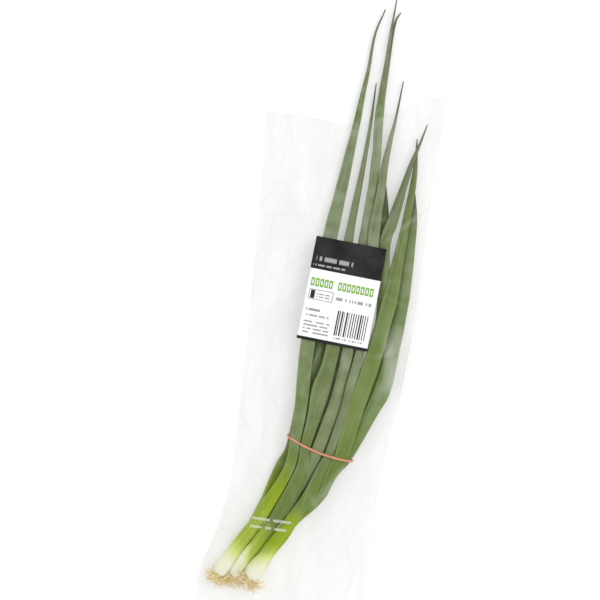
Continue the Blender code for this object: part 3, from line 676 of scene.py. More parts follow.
def stretch_band(settings, material):
    """A flat band round the hull of the leaves' section where it ties them."""
    across = np.array([math.cos(BAND_TURN), math.sin(BAND_TURN), 0])
    along = np.array([-math.sin(BAND_TURN), math.cos(BAND_TURN), 0])
    centre = np.array([*BAND_CENTRE, 0])
    half_thickness = settings.thickness / MILLIMETRE / 2
    half_width = settings.width / MILLIMETRE / 2
    near = corners_of(named("green_leaves"))[0] - centre
    near = near[np.abs(near @ along) < BAND_REACH]
    flat = np.column_stack([near @ across, near[:, 2]])
    middle = (flat.min(axis=0) + flat.max(axis=0)) / 2
    angles = turns(360)
    rays = np.column_stack([np.cos(angles), np.sin(angles)])
    support = (rays @ (flat - middle).T).max(axis=1) + half_thickness + BAND_GAP
    turning = np.gradient(np.concatenate([support[-1:], support, support[:1]]))[1:-1] / angles[1]
    tangents = np.column_stack([-rays[:, 1], rays[:, 0]])
    outline = middle + rays * support[:, None] + tangents * turning[:, None]
    closed = np.vstack([outline, outline[:1]])
    # Stations are spread half by length and half by turn, so that the corners get enough of them
    walked = distances(closed)
    spread = walked / walked[-1] + np.linspace(0, 1, len(closed))
    outline = resampled(closed, spread, np.linspace(0, 2, BAND_STATIONS, endpoint=False))
    normals = np.roll(outline, -1, axis=0) - np.roll(outline, 1, axis=0)
    normals = np.column_stack([normals[:, 1], -normals[:, 0]])
    normals /= np.linalg.norm(normals, axis=1)[:, None]
    half = np.abs(outline[:, 0] - middle[0]).max()
    front = smoothstep(middle[1] - 4, middle[1] + 4, outline[:, 1])
    sag = BAND_SAG * front * (1 - ((outline[:, 0] - middle[0]) / half) ** 2)
    wander = 0.25 * np.sin(3 * turns(BAND_STATIONS))
    corner = turns(BAND_SIDES)
    x = bulged(np.cos(corner), 0.5) * half_width
    z = bulged(np.sin(corner), 0.5) * half_thickness
    place = centre + across * outline[:, :1] - along * (sag + wander)[:, None]
    place[:, 2] = outline[:, 1]
    outwards = across * normals[:, :1]
    outwards[:, 2] = normals[:, 1]
    rings = place[:, None, :] + along * x[None, :, None] + outwards[:, None, :] * z[None, :, None]
    index = np.arange(rings.size // 3).reshape(rings.shape[:2])
    there = np.roll(index, -1, axis=0)
    faces = np.stack([index, np.roll(index, -1, axis=1), np.roll(there, -1, axis=1), there], axis=-1)
    skin = Skin()
    # How near each corner is to the band's edges, which get painted shade
    edge = np.tile(np.abs(x / half_width), BAND_STATIONS)
    skin.add(rings.reshape(-1, 3), faces.reshape(-1, 4).tolist(), edge=edge)
    skin.piece("rubber_tie", material, "band_rubber", ["rubber_band"], sharp=80)


def film_places(columns, rows):
    """The places of the film's grid, across and along, inside the bag's outline."""
    left, right, mouth = (smooth_route([(*p, 0) for p in edge], 240) for edge in (
        BAG_LEFT_EDGE, BAG_RIGHT_EDGE, BAG_MOUTH
    ))
    column = np.linspace(0, 1, columns + 1)[None, :]
    row = np.linspace(0, 1, rows + 1)[:, None]
    y = BAG_FOOT_Y + row * (BAG_MOUTH[0][1] - BAG_FOOT_Y) + 0 * column
    for _ in range(4):
        low = np.interp(y, left[:, 1], left[:, 0])
        high = np.interp(y, right[:, 1], right[:, 0])
        x = low + column * (high - low)
        y = BAG_FOOT_Y + row * (np.interp(x, mouth[:, 0], mouth[:, 1]) - BAG_FOOT_Y)
    return np.stack([x, y], axis=-1)


def heights_over(tree, places, fallback):
    """The highest point under each place, or the fallback."""
    found = np.full(places.shape[:-1], fallback)
    for index in np.ndindex(*found.shape):
        hit = tree.ray_cast(Vector((*places[index], 100.0)), Vector((0, 0, -1)))[0]
        if hit is not None:
            found[index] = max(fallback, hit.z)
    return found


def widest(heights):
    """Each height raised to the highest of its neighbours."""
    padded = np.pad(heights, 1, mode="edge")
    rows, columns = heights.shape
    return np.max([padded[j : j + rows, i : i + columns] for j in range(3) for i in range(3)], axis=0)


def around(heights):
    """The mean of each value's four neighbours, with the border's values repeated outside it."""
    padded = np.pad(heights, 1, mode="edge")
    return (padded[:-2, 1:-1] + padded[2:, 1:-1] + padded[1:-1, :-2] + padded[1:-1, 2:]) / 4


def evened(values):
    """Each value halfway to the mean of its four neighbours, twice."""
    for _ in range(2):
        values = (values + around(values)) / 2
    return values


def taut(needed, passes, pinned=None):
    """A skin pulled over what is needed: each pass evens it out without letting anything through."""
    heights = needed.copy()
    for _ in range(passes):
        heights = np.maximum(needed, around(heights))
        if pinned is not None:
            heights[pinned] = SEAM_HEIGHT
    return heights


def film_folds(places, strength):
    """Soft undulations and narrow creases in the loose film, all upwards, and how sharp each place is."""
    rng = random.Random("film folds")
    x, y = places[..., 0], places[..., 1]
    swell = np.zeros(x.shape)
    for _ in range(SWELLS):
        heading = rng.gauss(0, 0.5)
        wavelength = rng.uniform(18, 60)
        phase = (x * math.cos(heading) + y * math.sin(heading)) * math.tau / wavelength
        phase += rng.uniform(0, math.tau)
        swell += np.sin(phase + 0.8 * np.sin(y / rng.uniform(25, 60)))
    swell = 0.5 + 0.5 * np.tanh(swell / 4)
    total = 0.45 * strength * swell
    crease = np.zeros(x.shape)
    for _ in range(CREASES):
        cx = rng.uniform(-80, 80)
        cy = rng.uniform(-235, 235)
        heading = rng.gauss(math.pi / 2, 0.45) if rng.random() < 0.6 else rng.uniform(0, math.pi)
        half_length = rng.uniform(8, 48)
        width = rng.uniform(0.9, 2.6)
        dx, dy = x - cx, y - cy
        t = (dx * math.cos(heading) + dy * math.sin(heading)) / half_length
        d = -dx * math.sin(heading) + dy * math.cos(heading) - 3.0 * rng.uniform(-1, 1) * (t**2)
        shape = np.clip(1 - t**2, 0, 1) * np.exp(-((d / width) ** 2))
        weight = rng.uniform(0.25, 1) ** 1.5
        total += strength * 0.55 * weight * shape
        crease = np.maximum(crease, weight * shape)
    return total, crease


def turned(places, angle):
    """These places, turned anticlockwise."""
    cosine, sine = math.cos(angle), math.sin(angle)
    return places @ np.array([[cosine, sine], [-sine, cosine]])


def label_place(u, v):
    """The place, across and along the bag, of a point of the label measured from its lower left corner."""
    local = np.stack([u - LABEL_WIDTH / 2, v - LABEL_HEIGHT / 2], axis=-1)
    return turned(local, LABEL_TURN) + LABEL_CENTRE


def label_local(places):
    """The other way round: where on the label, from its lower left corner, a place on the bag is."""
    local = turned(places - LABEL_CENTRE, -LABEL_TURN)
    return local[..., 0] + LABEL_WIDTH / 2, local[..., 1] + LABEL_HEIGHT / 2


def grid_faces(index):
    corners = index[:-1, :-1], index[:-1, 1:], index[1:, 1:], index[1:, :-1]
    return np.stack(corners, axis=-1).reshape(-1, 4).tolist()


def sampled(table, u, v):
    """Values of a table at fractional columns and rows."""
    u = np.clip(u, 0, table.shape[1] - 1.001)
    v = np.clip(v, 0, table.shape[0] - 1.001)
    i, j = u.astype(int), v.astype(int)
    fu, fv = u - i, v - j
    lower = table[j, i] * (1 - fu) + table[j, i + 1] * fu
    upper = table[j + 1, i] * (1 - fu) + table[j + 1, i + 1] * fu
    return lower * (1 - fv) + upper * fv


def over_contents(places, clearance):
    """The least height of the film over the bunch at each place."""
    points, faces = corners_of(named("green_leaves", "white_shank", "root_tuft", "rubber_tie"))
    contents = BVHTree.FromPolygons(points.tolist(), faces)
    return widest(heights_over(contents, places, 0.0)) + clearance


def label_heights(places, film, u, v):
    """The label's heights as it lies taut over the film."""
    index = np.arange(film.size).reshape(film.shape)
    film_points = np.dstack([places, film]).reshape(-1, 3).tolist()
    film_tree = BVHTree.FromPolygons(film_points, grid_faces(index))
    return taut(widest(heights_over(film_tree, label_place(u, v), 0.0)), LABEL_PASSES)


def haze_and_painted_highlights(places, front, covered, clearance):
    """How milky the front sheet is: 0 where it clings to the leaves, 1 where it stands off them, and more in
    two patches of painted highlight.
    """
    x, y = places[..., 0], places[..., 1]
    bare = widest(widest(covered))
    over_leaves = smoothstep(0.7, 5.2, front - bare) * (1 - 0.45 * smoothstep(90, 120, y))
    loose = evened(np.where(bare > 0.5 + clearance, over_leaves, 1.0))
    # Milky by the mouth, clear over the roots on the left
    loose = np.maximum(loose, 0.5 * smoothstep(150, 205, y))
    loose *= 1 - 0.65 * smoothstep(-190, -206, y) * smoothstep(-14, -24, x)
    # Painted highlights: two patches made milkier where the film would catch the light, right of the label's
    # foot, and right of the stems
    loose += 2.4 * (
        smoothstep(52, 62, x + 3 * np.sin(y / 9)) * smoothstep(-36, -18, y) * smoothstep(36, 10, y)
    )
    off_painted_streak = (x - 26) * 0.87 - (y + 113) * 0.5
    painted_streak = np.exp(-((off_painted_streak / 3.2) ** 2))
    loose += 3.0 * painted_streak * smoothstep(-143, -128, y) * smoothstep(-97, -106, y)
    return loose * (1 - 0.6 * smoothstep(-40, -150, y) * smoothstep(10, 34, x))


def thicken(obj, name, thickness):
    wall = obj.modifiers.new(name, "SOLIDIFY")
    wall.thickness = thickness
    wall.offset = 0.0


def drape_bag(settings, label_settings, film_material, paper_material):
    """The film bag, drawn over the bunch and sealed round three sides, and the label stuck on it."""
    cell = settings.cell / MILLIMETRE
    width, length = BAG_MOUTH[-1][0] - BAG_LEFT_EDGE[0][0], BAG_MOUTH[-1][1] - BAG_FOOT_Y
    columns, rows = round(width / cell), round(length / cell)
    places = film_places(columns, rows)
    clearance = settings.clearance / MILLIMETRE + settings.thickness / MILLIMETRE / 2
    from_seam = np.minimum(np.arange(columns + 1), np.arange(columns, -1, -1))[None, :] * cell
    from_seam = np.minimum(from_seam, np.arange(rows + 1)[:, None] * cell)
    resting = SEAM_HEIGHT + (LEAST_HEIGHT - SEAM_HEIGHT) * smoothstep(0, 9, from_seam)
    covered = over_contents(places, clearance)
    needed = np.maximum(resting, covered)
    seam = np.zeros(needed.shape, bool)
    seam[0, :] = seam[:, 0] = seam[:, -1] = True

    u, v = np.meshgrid(
        np.linspace(0, LABEL_WIDTH, LABEL_COLUMNS + 1), np.linspace(0, LABEL_HEIGHT, LABEL_ROWS + 1)
    )
    sheet = label_heights(places, taut(needed, FILM_PASSES, seam), u, v)
    lu, lv = label_local(places)
    beyond = np.maximum(np.maximum(-lu, lu - LABEL_WIDTH), np.maximum(-lv, lv - LABEL_HEIGHT))
    under = sampled(sheet, lu / LABEL_WIDTH * LABEL_COLUMNS, lv / LABEL_HEIGHT * LABEL_ROWS)
    needed = np.where(beyond < 0, np.maximum(needed, under), needed)

    folds, crease = film_folds(places, settings.fold_height / MILLIMETRE)
    away_from_label = smoothstep(0, 9, beyond)
    front = taut(needed, FILM_PASSES, seam) + folds * (away_from_label * smoothstep(0, 7, from_seam))
    back = 0.3 + 0.12 * np.sin(places[..., 0] / 17) * np.sin(places[..., 1] / 23 + 1)
    back[seam] = front[seam] = SEAM_HEIGHT
    from_mouth = (rows - np.arange(rows + 1))[:, None] * cell
    rim = np.maximum(1 - smoothstep(0.5, 2.6, from_seam), 0.8 * (1 - smoothstep(0.3, 1.6, from_mouth)))

    top = np.arange(front.size).reshape(front.shape)
    free = ~seam
    below = top.copy()
    below[free] = front.size + np.arange(free.sum())
    where = np.dstack([places, np.zeros(front.shape)])
    skin = Skin()
    skin.add(
        np.vstack([np.dstack([places, front]).reshape(-1, 3), np.dstack([places, back])[free]]),
        grid_faces(top) + [face[::-1] for face in grid_faces(below)],
        # The crease values make the film milkier in its finish, a painted highlight of the folds
        crease=np.concatenate([(crease * away_from_label).ravel(), 0.25 * crease[::-1][free]]),
        lift=np.concatenate([haze_and_painted_highlights(places, front, covered, clearance).ravel(), np.ones(free.sum())]),
        rim=np.concatenate([rim.ravel(), rim[free]]),
        front=np.concatenate([np.ones(front.size), np.zeros(free.sum())]),
        place=np.concatenate([where.reshape(-1, 3), where[free]]),
    )
    film = skin.piece("film_bag", film_material, "clear_film", ["bag"], sharp=60)
    thicken(film, "film thickness", settings.thickness)
    film.visible_shadow = False
    film.visible_diffuse = False

    gap = (settings.thickness + label_settings.thickness) / 2 / MILLIMETRE + 0.08
    from_edge = np.minimum(np.minimum(u, LABEL_WIDTH - u), np.minimum(v, LABEL_HEIGHT - v))
    curled = sheet + gap + 0.25 * smoothstep(3, 0, from_edge)
    paper = Skin()
    paper.add(
        np.dstack([label_place(u, v), curled]).reshape(-1, 3),
        grid_faces(np.arange(u.size).reshape(u.shape)),
        place=np.dstack([u, v, 0 * u]).reshape(-1, 3),
    )
    label = paper.piece("paper_label", paper_material, "label_paper", ["label"], sharp=180)
    thicken(label, "paper thickness", label_settings.thickness)


class Wiring:
    """Adds nodes to a material or to a node group. A value can be a socket, which is then linked."""

    def __init__(self, tree):
        self.tree = tree

    def feed(self, target, value):
        if isinstance(value, bpy.types.NodeSocket):
            self.tree.links.new(value, target)
        else:
            target.default_value = value

    def add(self, kind, inputs=None, **settings):
        node = self.tree.nodes.new(kind)
        for name, value in settings.items():
            setattr(node, name, value)
        for name, value in (inputs or {}).items():
            self.feed(node.inputs[name], value)
        return node

    def math(self, operation, *values, clamp=False):
        given = dict(enumerate(values))
        return self.add("ShaderNodeMath", given, operation=operation, use_clamp=clamp).outputs[0]

    def scaled(self, value, factor, offset, clamp=False):
        return self.math("MULTIPLY_ADD", value, factor, offset, clamp=clamp)

    def vector(self, operation, *values):
        return self.add("ShaderNodeVectorMath", dict(enumerate(values)), operation=operation).outputs[0]

    def mix(self, factor, first, second, blend="MIX"):
        given = {0: factor, 6: first, 7: second}
        return self.add("ShaderNodeMix", given, data_type="RGBA", blend_type=blend).outputs[2]

    def times(self, colour, factor):
        return self.mix(1.0, colour, factor, "MULTIPLY")

    def read(self, name, output="Fac"):
        return self.add("ShaderNodeAttribute", attribute_name=name).outputs[output]

    def use(self, group, **inputs):
        """Places a shared effect, with its own values."""
        given = {name.replace("_", " "): value for name, value in inputs.items()}
        return self.add("ShaderNodeGroup", given, node_tree=group).outputs

    def cloud(self, where, scale, contrast):
        return self.use(soft_mottle(), Place=where, Scale=scale, Contrast=contrast)["Cloud"]

    def block(self, where, left, right, bottom, top, softness):
        edges = {"Left": left, "Right": right, "Bottom": bottom, "Top": top}
        return self.use(printed_block(), Place=where, Softness=softness, **edges)["Mask"]

    def object_place(self):
        return self.add("ShaderNodeTexCoord").outputs["Object"]


def rgba(colour):
    return (*colour, 1.0)


def effect(name, inputs, outputs, wire):
    """A shader node group with these sockets. The function wires it when it is first asked for."""
    if name in bpy.data.node_groups:
        return bpy.data.node_groups[name]
    tree = bpy.data.node_groups.new(name, "ShaderNodeTree")
    for label, default in inputs.items():
        kind = "NodeSocketVector" if default is None else "NodeSocketFloat"
        socket = tree.interface.new_socket(label, in_out="INPUT", socket_type=kind)
        if default is not None:
            socket.default_value = default
    for label in outputs:
        tree.interface.new_socket(label, in_out="OUTPUT", socket_type="NodeSocketFloat")
    given = tree.nodes.new("NodeGroupInput").outputs
    out = tree.nodes.new("NodeGroupOutput").inputs
    for label, value in wire(Wiring(tree), given).items():
        tree.links.new(value, out[label])
    return tree


def fibre_streaks():
    """Fine streaks that run along a stem or leaf, as a brightness near 1 and as a height."""

    def wire(w, given):
        fineness = given["Fineness"]
        scale = w.add("ShaderNodeCombineXYZ", {0: fineness, 1: fineness, 2: given["Length"]}).outputs[0]
        stretched = w.vector("MULTIPLY", given["Grain"], scale)
        noise = w.add("ShaderNodeTexNoise", {
            "Vector": stretched, "Scale": 1.0, "Detail": 4.0, "Roughness": 0.6,
        })
        height = noise.outputs["Fac"]
        swing = w.math("MULTIPLY", w.math("SUBTRACT", height, 0.5), given["Strength"])
        return {"Brightness": w.scaled(swing, 4.0, 1.0), "Height": height}

    inputs = {"Grain": None, "Fineness": 1.0, "Length": 0.02, "Strength": 0.2}
    return effect("Fibre Streaks", inputs, ["Brightness", "Height"], wire)


def soft_mottle():
    """Cloudy variation over a surface, from 0 to 1."""

    def wire(w, given):
        noise = w.add("ShaderNodeTexNoise", {
            "Vector": given["Place"], "Scale": given["Scale"], "Detail": 3.0, "Roughness": 0.55,
        })
        spread = w.math("MULTIPLY", w.math("SUBTRACT", noise.outputs["Fac"], 0.5), given["Contrast"])
        return {"Cloud": w.scaled(spread, 2.5, 0.5, clamp=True)}

    return effect("Soft Mottle", {"Place": None, "Scale": 0.1, "Contrast": 1.0}, ["Cloud"], wire)


def printed_block():
    """A printed rectangle: 1 between its edges and 0 outside, slightly soft."""

    def wire(w, given):
        x, y = w.add("ShaderNodeSeparateXYZ", {0: given["Place"]}).outputs[:2]
        sides = (
            w.math("SUBTRACT", x, given["Left"]),
            w.math("SUBTRACT", given["Right"], x),
            w.math("SUBTRACT", y, given["Bottom"]),
            w.math("SUBTRACT", given["Top"], y),
        )
        nearest = w.math("MINIMUM", w.math("MINIMUM", *sides[:2]), w.math("MINIMUM", *sides[2:]))
        sharp = w.math("DIVIDE", nearest, given["Softness"])
        return {"Mask": w.math("ADD", sharp, 0.5, clamp=True)}

    inputs = {"Place": None, "Left": 0.0, "Right": 10.0, "Bottom": 0.0, "Top": 10.0, "Softness": 0.15}
    return effect("Printed Block", inputs, ["Mask"], wire)


class Finish(Wiring):
    """A material with its Principled shader, and these values on the shader's own sockets."""

    def __init__(self, name, **values):
        self.material = bpy.data.materials.new(name)
        self.material.use_nodes = True
        super().__init__(self.material.node_tree)
        self.shader = self.tree.nodes["Principled BSDF"]
        self.set(Metallic=0.0, **values)

    def set(self, **values):
        for name, value in values.items():
            self.feed(self.shader.inputs[name.replace("_", " ")], value)

    def bump(self, height, strength, distance):
        given = {"Height": height, "Strength": strength, "Distance": distance}
        self.set(Normal=self.add("ShaderNodeBump", given).outputs[0])

    def stage_colours(self, settings):
        """The colour of the skin by its stage, from the white shank to the grey green leaf."""
        ramp = self.add("ShaderNodeValToRGB", {0: self.math("DIVIDE", self.read("stage"), 4.0)})
        stops = (settings.white, settings.pale, settings.bright, settings.middle, settings.grey)
        elements = ramp.color_ramp.elements
        while len(elements) < len(stops):
            elements.new(0.5)
        for i, colour in enumerate(stops):
            elements[i].position = i / (len(stops) - 1)
            elements[i].color = rgba(colour)
        return ramp.outputs["Color"]


def leaf_finish(settings):
    """Living leaf: streaks along it, a cloudy wax bloom and a wilted tip."""
    w = Finish("living_leaf", Specular_IOR_Level=0.15)
    grain = w.read("grain", "Vector")
    fine = w.use(fibre_streaks(), Grain=grain, Fineness=2.6, Length=0.03, Strength=0.17)
    broad = w.use(fibre_streaks(), Grain=grain, Fineness=0.55, Length=0.012, Strength=0.21)
    colour = w.stage_colours(settings)
    # The streaks' brightness, and the leaf's tone, which is painted shade on the under-leaves
    for shade in (fine["Brightness"], broad["Brightness"], w.read("tone")):
        colour = w.times(colour, shade)
    cloud = w.cloud(grain, 0.07, 1.3)
    bloom = w.math("MULTIPLY", w.read("bloom"), w.scaled(cloud, 0.5, 0.05))
    colour = w.mix(bloom, colour, rgba(settings.bloom))
    colour = w.mix(w.math("MULTIPLY", w.read("margin"), 0.4), colour, rgba(settings.margin))
    patchy = w.scaled(w.cloud(grain, 0.35, 1.6), 0.7, 0.45)
    dry = w.math("MULTIPLY", w.read("dryness"), patchy, clamp=True)
    colour = w.mix(dry, colour, rgba(settings.dried))
    w.set(Base_Color=colour, Roughness=w.scaled(cloud, 0.22, settings.roughness - 0.08))
    w.bump(fine["Height"], 0.35, 0.0003)
    return w.material


def shank_finish(settings):
    """Moist white shank with faint green veins, and brown scuffs where it meets the roots."""
    w = Finish("moist_shank", Coat_Weight=0.25, Coat_Roughness=0.25)
    grain = w.read("grain", "Vector")
    veins = w.use(fibre_streaks(), Grain=grain, Fineness=1.4, Length=0.012, Strength=0.1)
    colour = w.times(w.stage_colours(settings), veins["Brightness"])
    thin = w.scaled(veins["Height"], 5.0, -2.75, clamp=True)
    colour = w.mix(w.math("MULTIPLY", thin, 0.4), colour, rgba(settings.vein))
    along = w.add("ShaderNodeSeparateXYZ", {0: grain}).outputs[2]
    low = w.scaled(along, -0.3, 1.0, clamp=True)
    scuff = w.cloud(grain, 0.5, 2.0)
    colour = w.mix(w.math("MULTIPLY", low, scuff), colour, rgba(settings.scuff))
    w.set(Base_Color=colour, Roughness=w.scaled(scuff, 0.2, 0.28))
    w.bump(veins["Height"], 0.25, 0.0003)
    return w.material


def root_finish(settings):
    """Dry fibrous roots, each strand with its own shade."""
    w = Finish("dry_root", Roughness=0.8)
    cloud = w.cloud(w.object_place(), 420.0, 1.2)
    shade = w.scaled(w.read("strand"), 0.55, w.math("MULTIPLY", cloud, 0.3))
    shade = w.scaled(w.read("dryness"), 0.35, w.math("SUBTRACT", shade, 0.15), clamp=True)
    w.set(Base_Color=w.mix(shade, rgba(settings.light), rgba(settings.dark)))
    w.bump(cloud, 0.4, 0.0002)
    return w.material


def band_finish(settings):
    """Smooth rubber, darker red towards its cut edges as painted shade, with a faint cloudiness."""
    w = Finish("stretched_rubber")
    cloud = w.cloud(w.object_place(), 300.0, 1.0)
    # Painted shade: darker red towards the band's edges, where it turns away from the light
    edge = w.math("MULTIPLY", w.math("POWER", w.read("edge"), 3.0), 0.7)
    colour = w.mix(edge, rgba(settings.rubber), rgba(settings.edge))
    w.set(Base_Color=w.times(colour, w.scaled(cloud, 0.3, 0.85)), Roughness=w.scaled(cloud, 0.2, 0.4))
    w.bump(cloud, 0.2, 0.0002)
    return w.material


def film_finish(settings):
    """Clear, slightly milky film: whiter at its seams and where it stands off, with painted highlights as
    extra milkiness in its creases and in two patches.
    """
    w = Finish("clear_film_sheet", IOR=1.45)
    where = w.read("place", "Vector")
    cloud = w.cloud(w.vector("MULTIPLY", where, (1.0, 0.3, 1.0)), 0.05, 1.9)
    scratch = w.use(fibre_streaks(), Grain=where, Fineness=0.5, Length=0.0, Strength=0.2)
    # The lift carries the film's haze, and the painted highlights of its two bright patches
    alpha = w.scaled(w.read("lift"), w.scaled(cloud, 0.05, settings.haze - 0.025), 0.004)
    # Painted highlight: creases get extra milkiness where the folds would catch the light
    alpha = w.scaled(w.read("crease"), 0.08, alpha)
    alpha = w.scaled(w.read("rim"), 0.01, alpha)
    facing = w.add("ShaderNodeLayerWeight", {"Blend": 0.3}).outputs["Facing"]
    alpha = w.scaled(w.math("POWER", facing, 2.0), 0.1, alpha)
    marks = 0.0
    for left, right, foot in FILM_MARKS:
        marks = w.math("MAXIMUM", marks, w.block(where, left, right, foot, foot + MARK_HEIGHT, 0.5))
    ink = w.math("MULTIPLY", marks, w.math("MULTIPLY", w.read("front"), 0.3))
    shade = w.scaled(w.math("SUBTRACT", scratch["Brightness"], 1.0), 0.25, 1.0)
    colour = w.mix(ink, w.times(rgba(settings.tint), shade), rgba(settings.ink))
    w.set(Base_Color=colour, Roughness=w.scaled(cloud, 0.12, 0.16))
    w.set(Alpha=w.math("ADD", alpha, ink, clamp=True))
    return w.material


def label_finish(settings):
    """Coated paper with a plain printed layout: panels, bars and dashes, and no lettering.

    The layout is in millimetres from the label's lower left corner.
    """
    w = Finish("coated_label", Specular_IOR_Level=0.14)
    where = w.read("place", "Vector")
    across, height = w.add("ShaderNodeSeparateXYZ", {0: where}).outputs[:2]

    def block(left, right, bottom, top, softness=0.2):
        return w.block(where, left, right, bottom, top, softness)

    def cells(scale_x, share, scale_y=0):
        whole = w.vector("FLOOR", w.vector("MULTIPLY", where, (scale_x, scale_y, 0)))
        noise = w.add("ShaderNodeTexWhiteNoise", {"Vector": whole}, noise_dimensions="3D")
        return w.math("GREATER_THAN", noise.outputs["Value"], share)

    def rows(pitch, share):
        return w.math("LESS_THAN", w.math("FRACT", w.math("DIVIDE", height, pitch)), share)

    def upright(pitch):
        scaled = w.math("DIVIDE", across, pitch)
        noise = w.add("ShaderNodeTexWhiteNoise", {"W": w.math("FLOOR", scaled)}, noise_dimensions="1D")
        wide = w.scaled(noise.outputs["Value"], 0.5, 0.25)
        return w.math("LESS_THAN", w.math("FRACT", scaled), wide)

    def joined(operation, masks):
        whole = masks[0]
        for mask in masks[1:]:
            whole = w.math(operation, whole, mask)
        return whole

    def both(*masks):
        return joined("MULTIPLY", masks)

    def either(*masks):
        return joined("MAXIMUM", masks)

    def outside(mask):
        return w.math("SUBTRACT", 1.0, mask)

    black = either(
        block(-5, 70, 64, 99),
        block(-5, 70, -5, 2.7),
        block(4.6, 8.4, 37.6, 45),
        both(block(31.8, 60.2, 8.6, 31), upright(2.1)),
    )
    grey = either(
        both(block(3, 25, 36.6, 46), outside(block(3.7, 24.3, 37.3, 45.3))),
        both(block(10, 22, 39, 43.6), rows(2.6, 0.45), cells(0.9, 0.25)),
        both(block(28, 60, 39.6, 42.4), cells(0.8, 0.3)),
        both(block(3, 16, 26.4, 28.6), cells(0.9, 0.2)),
        both(block(3, 25, 21.6, 23.2), cells(0.7, 0.3)),
        both(block(3, 27, 5, 17.6), rows(3.2, 0.42), cells(0.55, 0.3, 0.3125)),
        both(block(32, 58, 5.4, 7), cells(1.1, 0.35)),
    )
    pale = either(
        both(block(4, 37, 71.6, 75.4, 1.2), cells(0.45, 0.25)),
        both(block(2, 31, 66.8, 68.4), cells(0.8, 0.3)),
    )
    # The title's place has a row of hollow boxes, each 4.1 wide with its gap
    step = w.math("FRACT", w.math("DIVIDE", w.math("SUBTRACT", across, 3.0), 4.1))
    hollow = both(
        w.math("GREATER_THAN", step, 0.26), w.math("LESS_THAN", step, 0.56), block(0, 64, 50.4, 54.2)
    )
    title = either(block(3, 23.5, 48.6, 56, 0.3), block(27.6, 60.4, 48.6, 56, 0.3))
    green = both(title, both(w.math("LESS_THAN", step, 0.82), outside(hollow)))
    cloud = w.cloud(where, 0.09, 1.0)
    paper, ink = rgba(settings.paper), rgba(settings.black)
    colour = w.mix(green, w.times(paper, w.scaled(cloud, 0.08, 0.96)), rgba(settings.green))
    colour = w.mix(w.math("MULTIPLY", grey, 0.75), colour, rgba(settings.grey))
    # Painted sheen: the black ink is lightened in soft clouds, standing in for the gloss of the coated paper
    painted_sheen = w.math("MULTIPLY", w.cloud(where, 0.035, 1.6), 0.022)
    colour = w.mix(black, colour, w.mix(painted_sheen, ink, paper))
    colour = w.mix(w.math("MULTIPLY", pale, 0.4), colour, paper)
    w.set(Base_Color=colour, Roughness=w.scaled(cloud, 0.15, 0.28))
    w.bump(cloud, 0.15, 0.0004)
    return w.material


def floor_finish(settings):
    """Plain matt backdrop with the faintest unevenness, which shines a little like a light table."""
    w = Finish("plain_floor", Specular_IOR_Level=0.1)
    w.set(Emission_Color=(1, 1, 1, 1), Emission_Strength=settings.glow)
    cloud = w.cloud(w.object_place(), 6.0, 1.0)
    w.set(
        Base_Color=w.times(rgba(settings.floor), w.scaled(cloud, 0.01, 0.995)),
        Roughness=w.scaled(cloud, 0.05, 0.9),
    )
    return w.material


class SHALLOTS_OT_grow_leaves(bpy.types.Operator):
    """Grow the white shanks, green sheaths and leaves of all three shallots"""

    bl_idname = "shallots.grow_leaves"
    bl_label = "Grow leaves and shanks"

    def execute(self, context):
        settings = context.scene.shallot_leaves
        finishes = leaf_finish(settings), shank_finish(settings)
        for name, made_of in SHALLOTS.items():
            grow_shallot(name, made_of, settings, *finishes)
        return {"FINISHED"}


class SHALLOTS_OT_grow_roots(bpy.types.Operator):
    """Grow the root tufts"""

    bl_idname = "shallots.grow_roots"
    bl_label = "Grow root tufts"

    def execute(self, context):
        settings = context.scene.shallot_roots
        material = root_finish(settings)
        for name, made_of in SHALLOTS.items():
            grow_roots(name, made_of, settings, material)
        return {"FINISHED"}


class SHALLOTS_OT_stretch_band(bpy.types.Operator):
    """Stretch the rubber band round the leaves"""

    bl_idname = "shallots.stretch_band"
    bl_label = "Stretch rubber band"

    def execute(self, context):
        settings = context.scene.shallot_band
        if not named("green_leaves"):
            raise RuntimeError("grow the leaves before the band is stretched round them")
        stretch_band(settings, band_finish(settings))
        return {"FINISHED"}


class SHALLOTS_OT_drape_bag(bpy.types.Operator):
    """Drape the film bag over the bunch and stick the label on it"""

    bl_idname = "shallots.drape_bag"
    bl_label = "Drape bag and label"

    def execute(self, context):
        scene = context.scene
        if not named("rubber_tie"):
            raise RuntimeError("stretch the band before the bag is draped")
        materials = film_finish(scene.shallot_bag), label_finish(scene.shallot_label)
        drape_bag(scene.shallot_bag, scene.shallot_label, *materials)
        return {"FINISHED"}


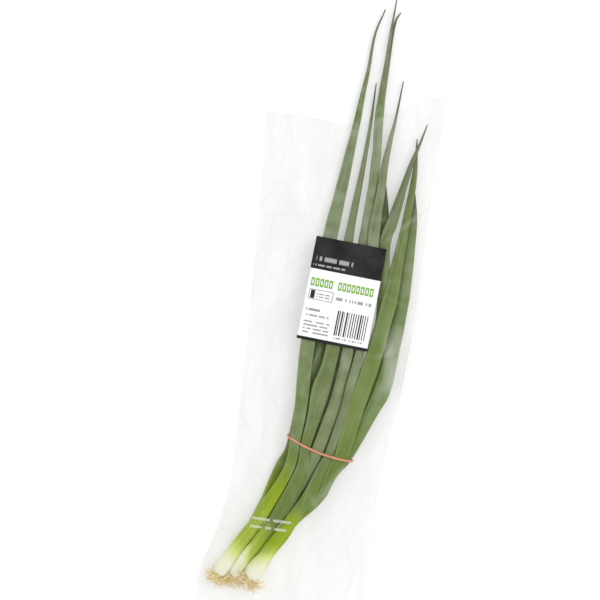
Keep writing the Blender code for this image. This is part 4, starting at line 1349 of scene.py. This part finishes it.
class SHALLOTS_OT_set_stage(bpy.types.Operator):
    """Lay the floor and set the lights and the camera"""

    bl_idname = "shallots.set_stage"
    bl_label = "Set stage"

    def execute(self, context):
        scene = context.scene
        settings = scene.shallot_stage
        bpy.ops.mesh.primitive_plane_add(size=FLOOR_SIZE, location=(0, 0, FLOOR_HEIGHT))
        floor = context.active_object
        floor.name = "studio_floor"
        floor.data.materials.append(floor_finish(settings))
        world = bpy.data.worlds.new("studio_sky")
        world.use_nodes = True
        world.node_tree.nodes["Background"].inputs["Color"].default_value = (1, 1, 1, 1)
        world.node_tree.nodes["Background"].inputs["Strength"].default_value = settings.sky
        scene.world = world
        lamp = bpy.data.lights.new("soft_lamp", "AREA")
        lamp.shape = "DISK"
        lamp.size = LAMP_SIZE
        lamp.energy = settings.lamp
        holder = bpy.data.objects.new("soft_lamp", lamp)
        holder.location = LAMP_PLACE
        holder.rotation_euler = (-holder.location).to_track_quat("-Z", "Y").to_euler()
        scene.collection.objects.link(holder)
        camera = bpy.data.cameras.new("studio_camera")
        camera.sensor_width = SENSOR_WIDTH
        camera.lens = SENSOR_WIDTH * settings.camera_height / settings.view_width
        eye = bpy.data.objects.new("studio_camera", camera)
        eye.location = (*CAMERA_PLACE, settings.camera_height)
        eye.rotation_euler = (0, 0, CAMERA_TURN)
        scene.collection.objects.link(eye)
        scene.camera = eye
        scene.view_settings.view_transform = "Standard"
        return {"FINISHED"}


class SHALLOTS_PT_panel(bpy.types.Panel):
    """Lists the steps that make the bagged bunch, with their settings."""

    bl_idname = "SHALLOTS_PT_panel"
    bl_label = "Green Shallots"
    bl_space_type = "VIEW_3D"
    bl_region_type = "UI"
    bl_category = "Shallots"

    def draw(self, context):
        for step, groups in STEPS:
            box = self.layout.box()
            box.operator(step.bl_idname)
            for group in groups:
                settings = getattr(context.scene, group)
                for key in settings.bl_rna.properties.keys():
                    if key not in {"rna_type", "name"}:
                        box.prop(settings, key)


STEPS = (
    (SHALLOTS_OT_grow_leaves, ["shallot_leaves"]),
    (SHALLOTS_OT_grow_roots, ["shallot_roots"]),
    (SHALLOTS_OT_stretch_band, ["shallot_band"]),
    (SHALLOTS_OT_drape_bag, ["shallot_bag", "shallot_label"]),
    (SHALLOTS_OT_set_stage, ["shallot_stage"]),
)
SETTINGS = {
    "shallot_leaves": LeafSettings,
    "shallot_roots": RootSettings,
    "shallot_band": BandSettings,
    "shallot_bag": BagSettings,
    "shallot_label": LabelSettings,
    "shallot_stage": StageSettings,
}


def register():
    for settings in SETTINGS.values():
        bpy.utils.register_class(settings)
    for step, _ in STEPS:
        bpy.utils.register_class(step)
    bpy.utils.register_class(SHALLOTS_PT_panel)
    for name, settings in SETTINGS.items():
        setattr(bpy.types.Scene, name, PointerProperty(type=settings))


def unregister():
    for name in SETTINGS:
        delattr(bpy.types.Scene, name)
    bpy.utils.unregister_class(SHALLOTS_PT_panel)
    for step, _ in reversed(STEPS):
        bpy.utils.unregister_class(step)
    for settings in reversed(SETTINGS.values()):
        bpy.utils.unregister_class(settings)


def main():
    register()
    bpy.ops.shallots.grow_leaves()
    bpy.ops.shallots.grow_roots()
    bpy.ops.shallots.stretch_band()
    bpy.ops.shallots.drape_bag()
    bpy.ops.shallots.set_stage()


if __name__ == "__main__":
    main()
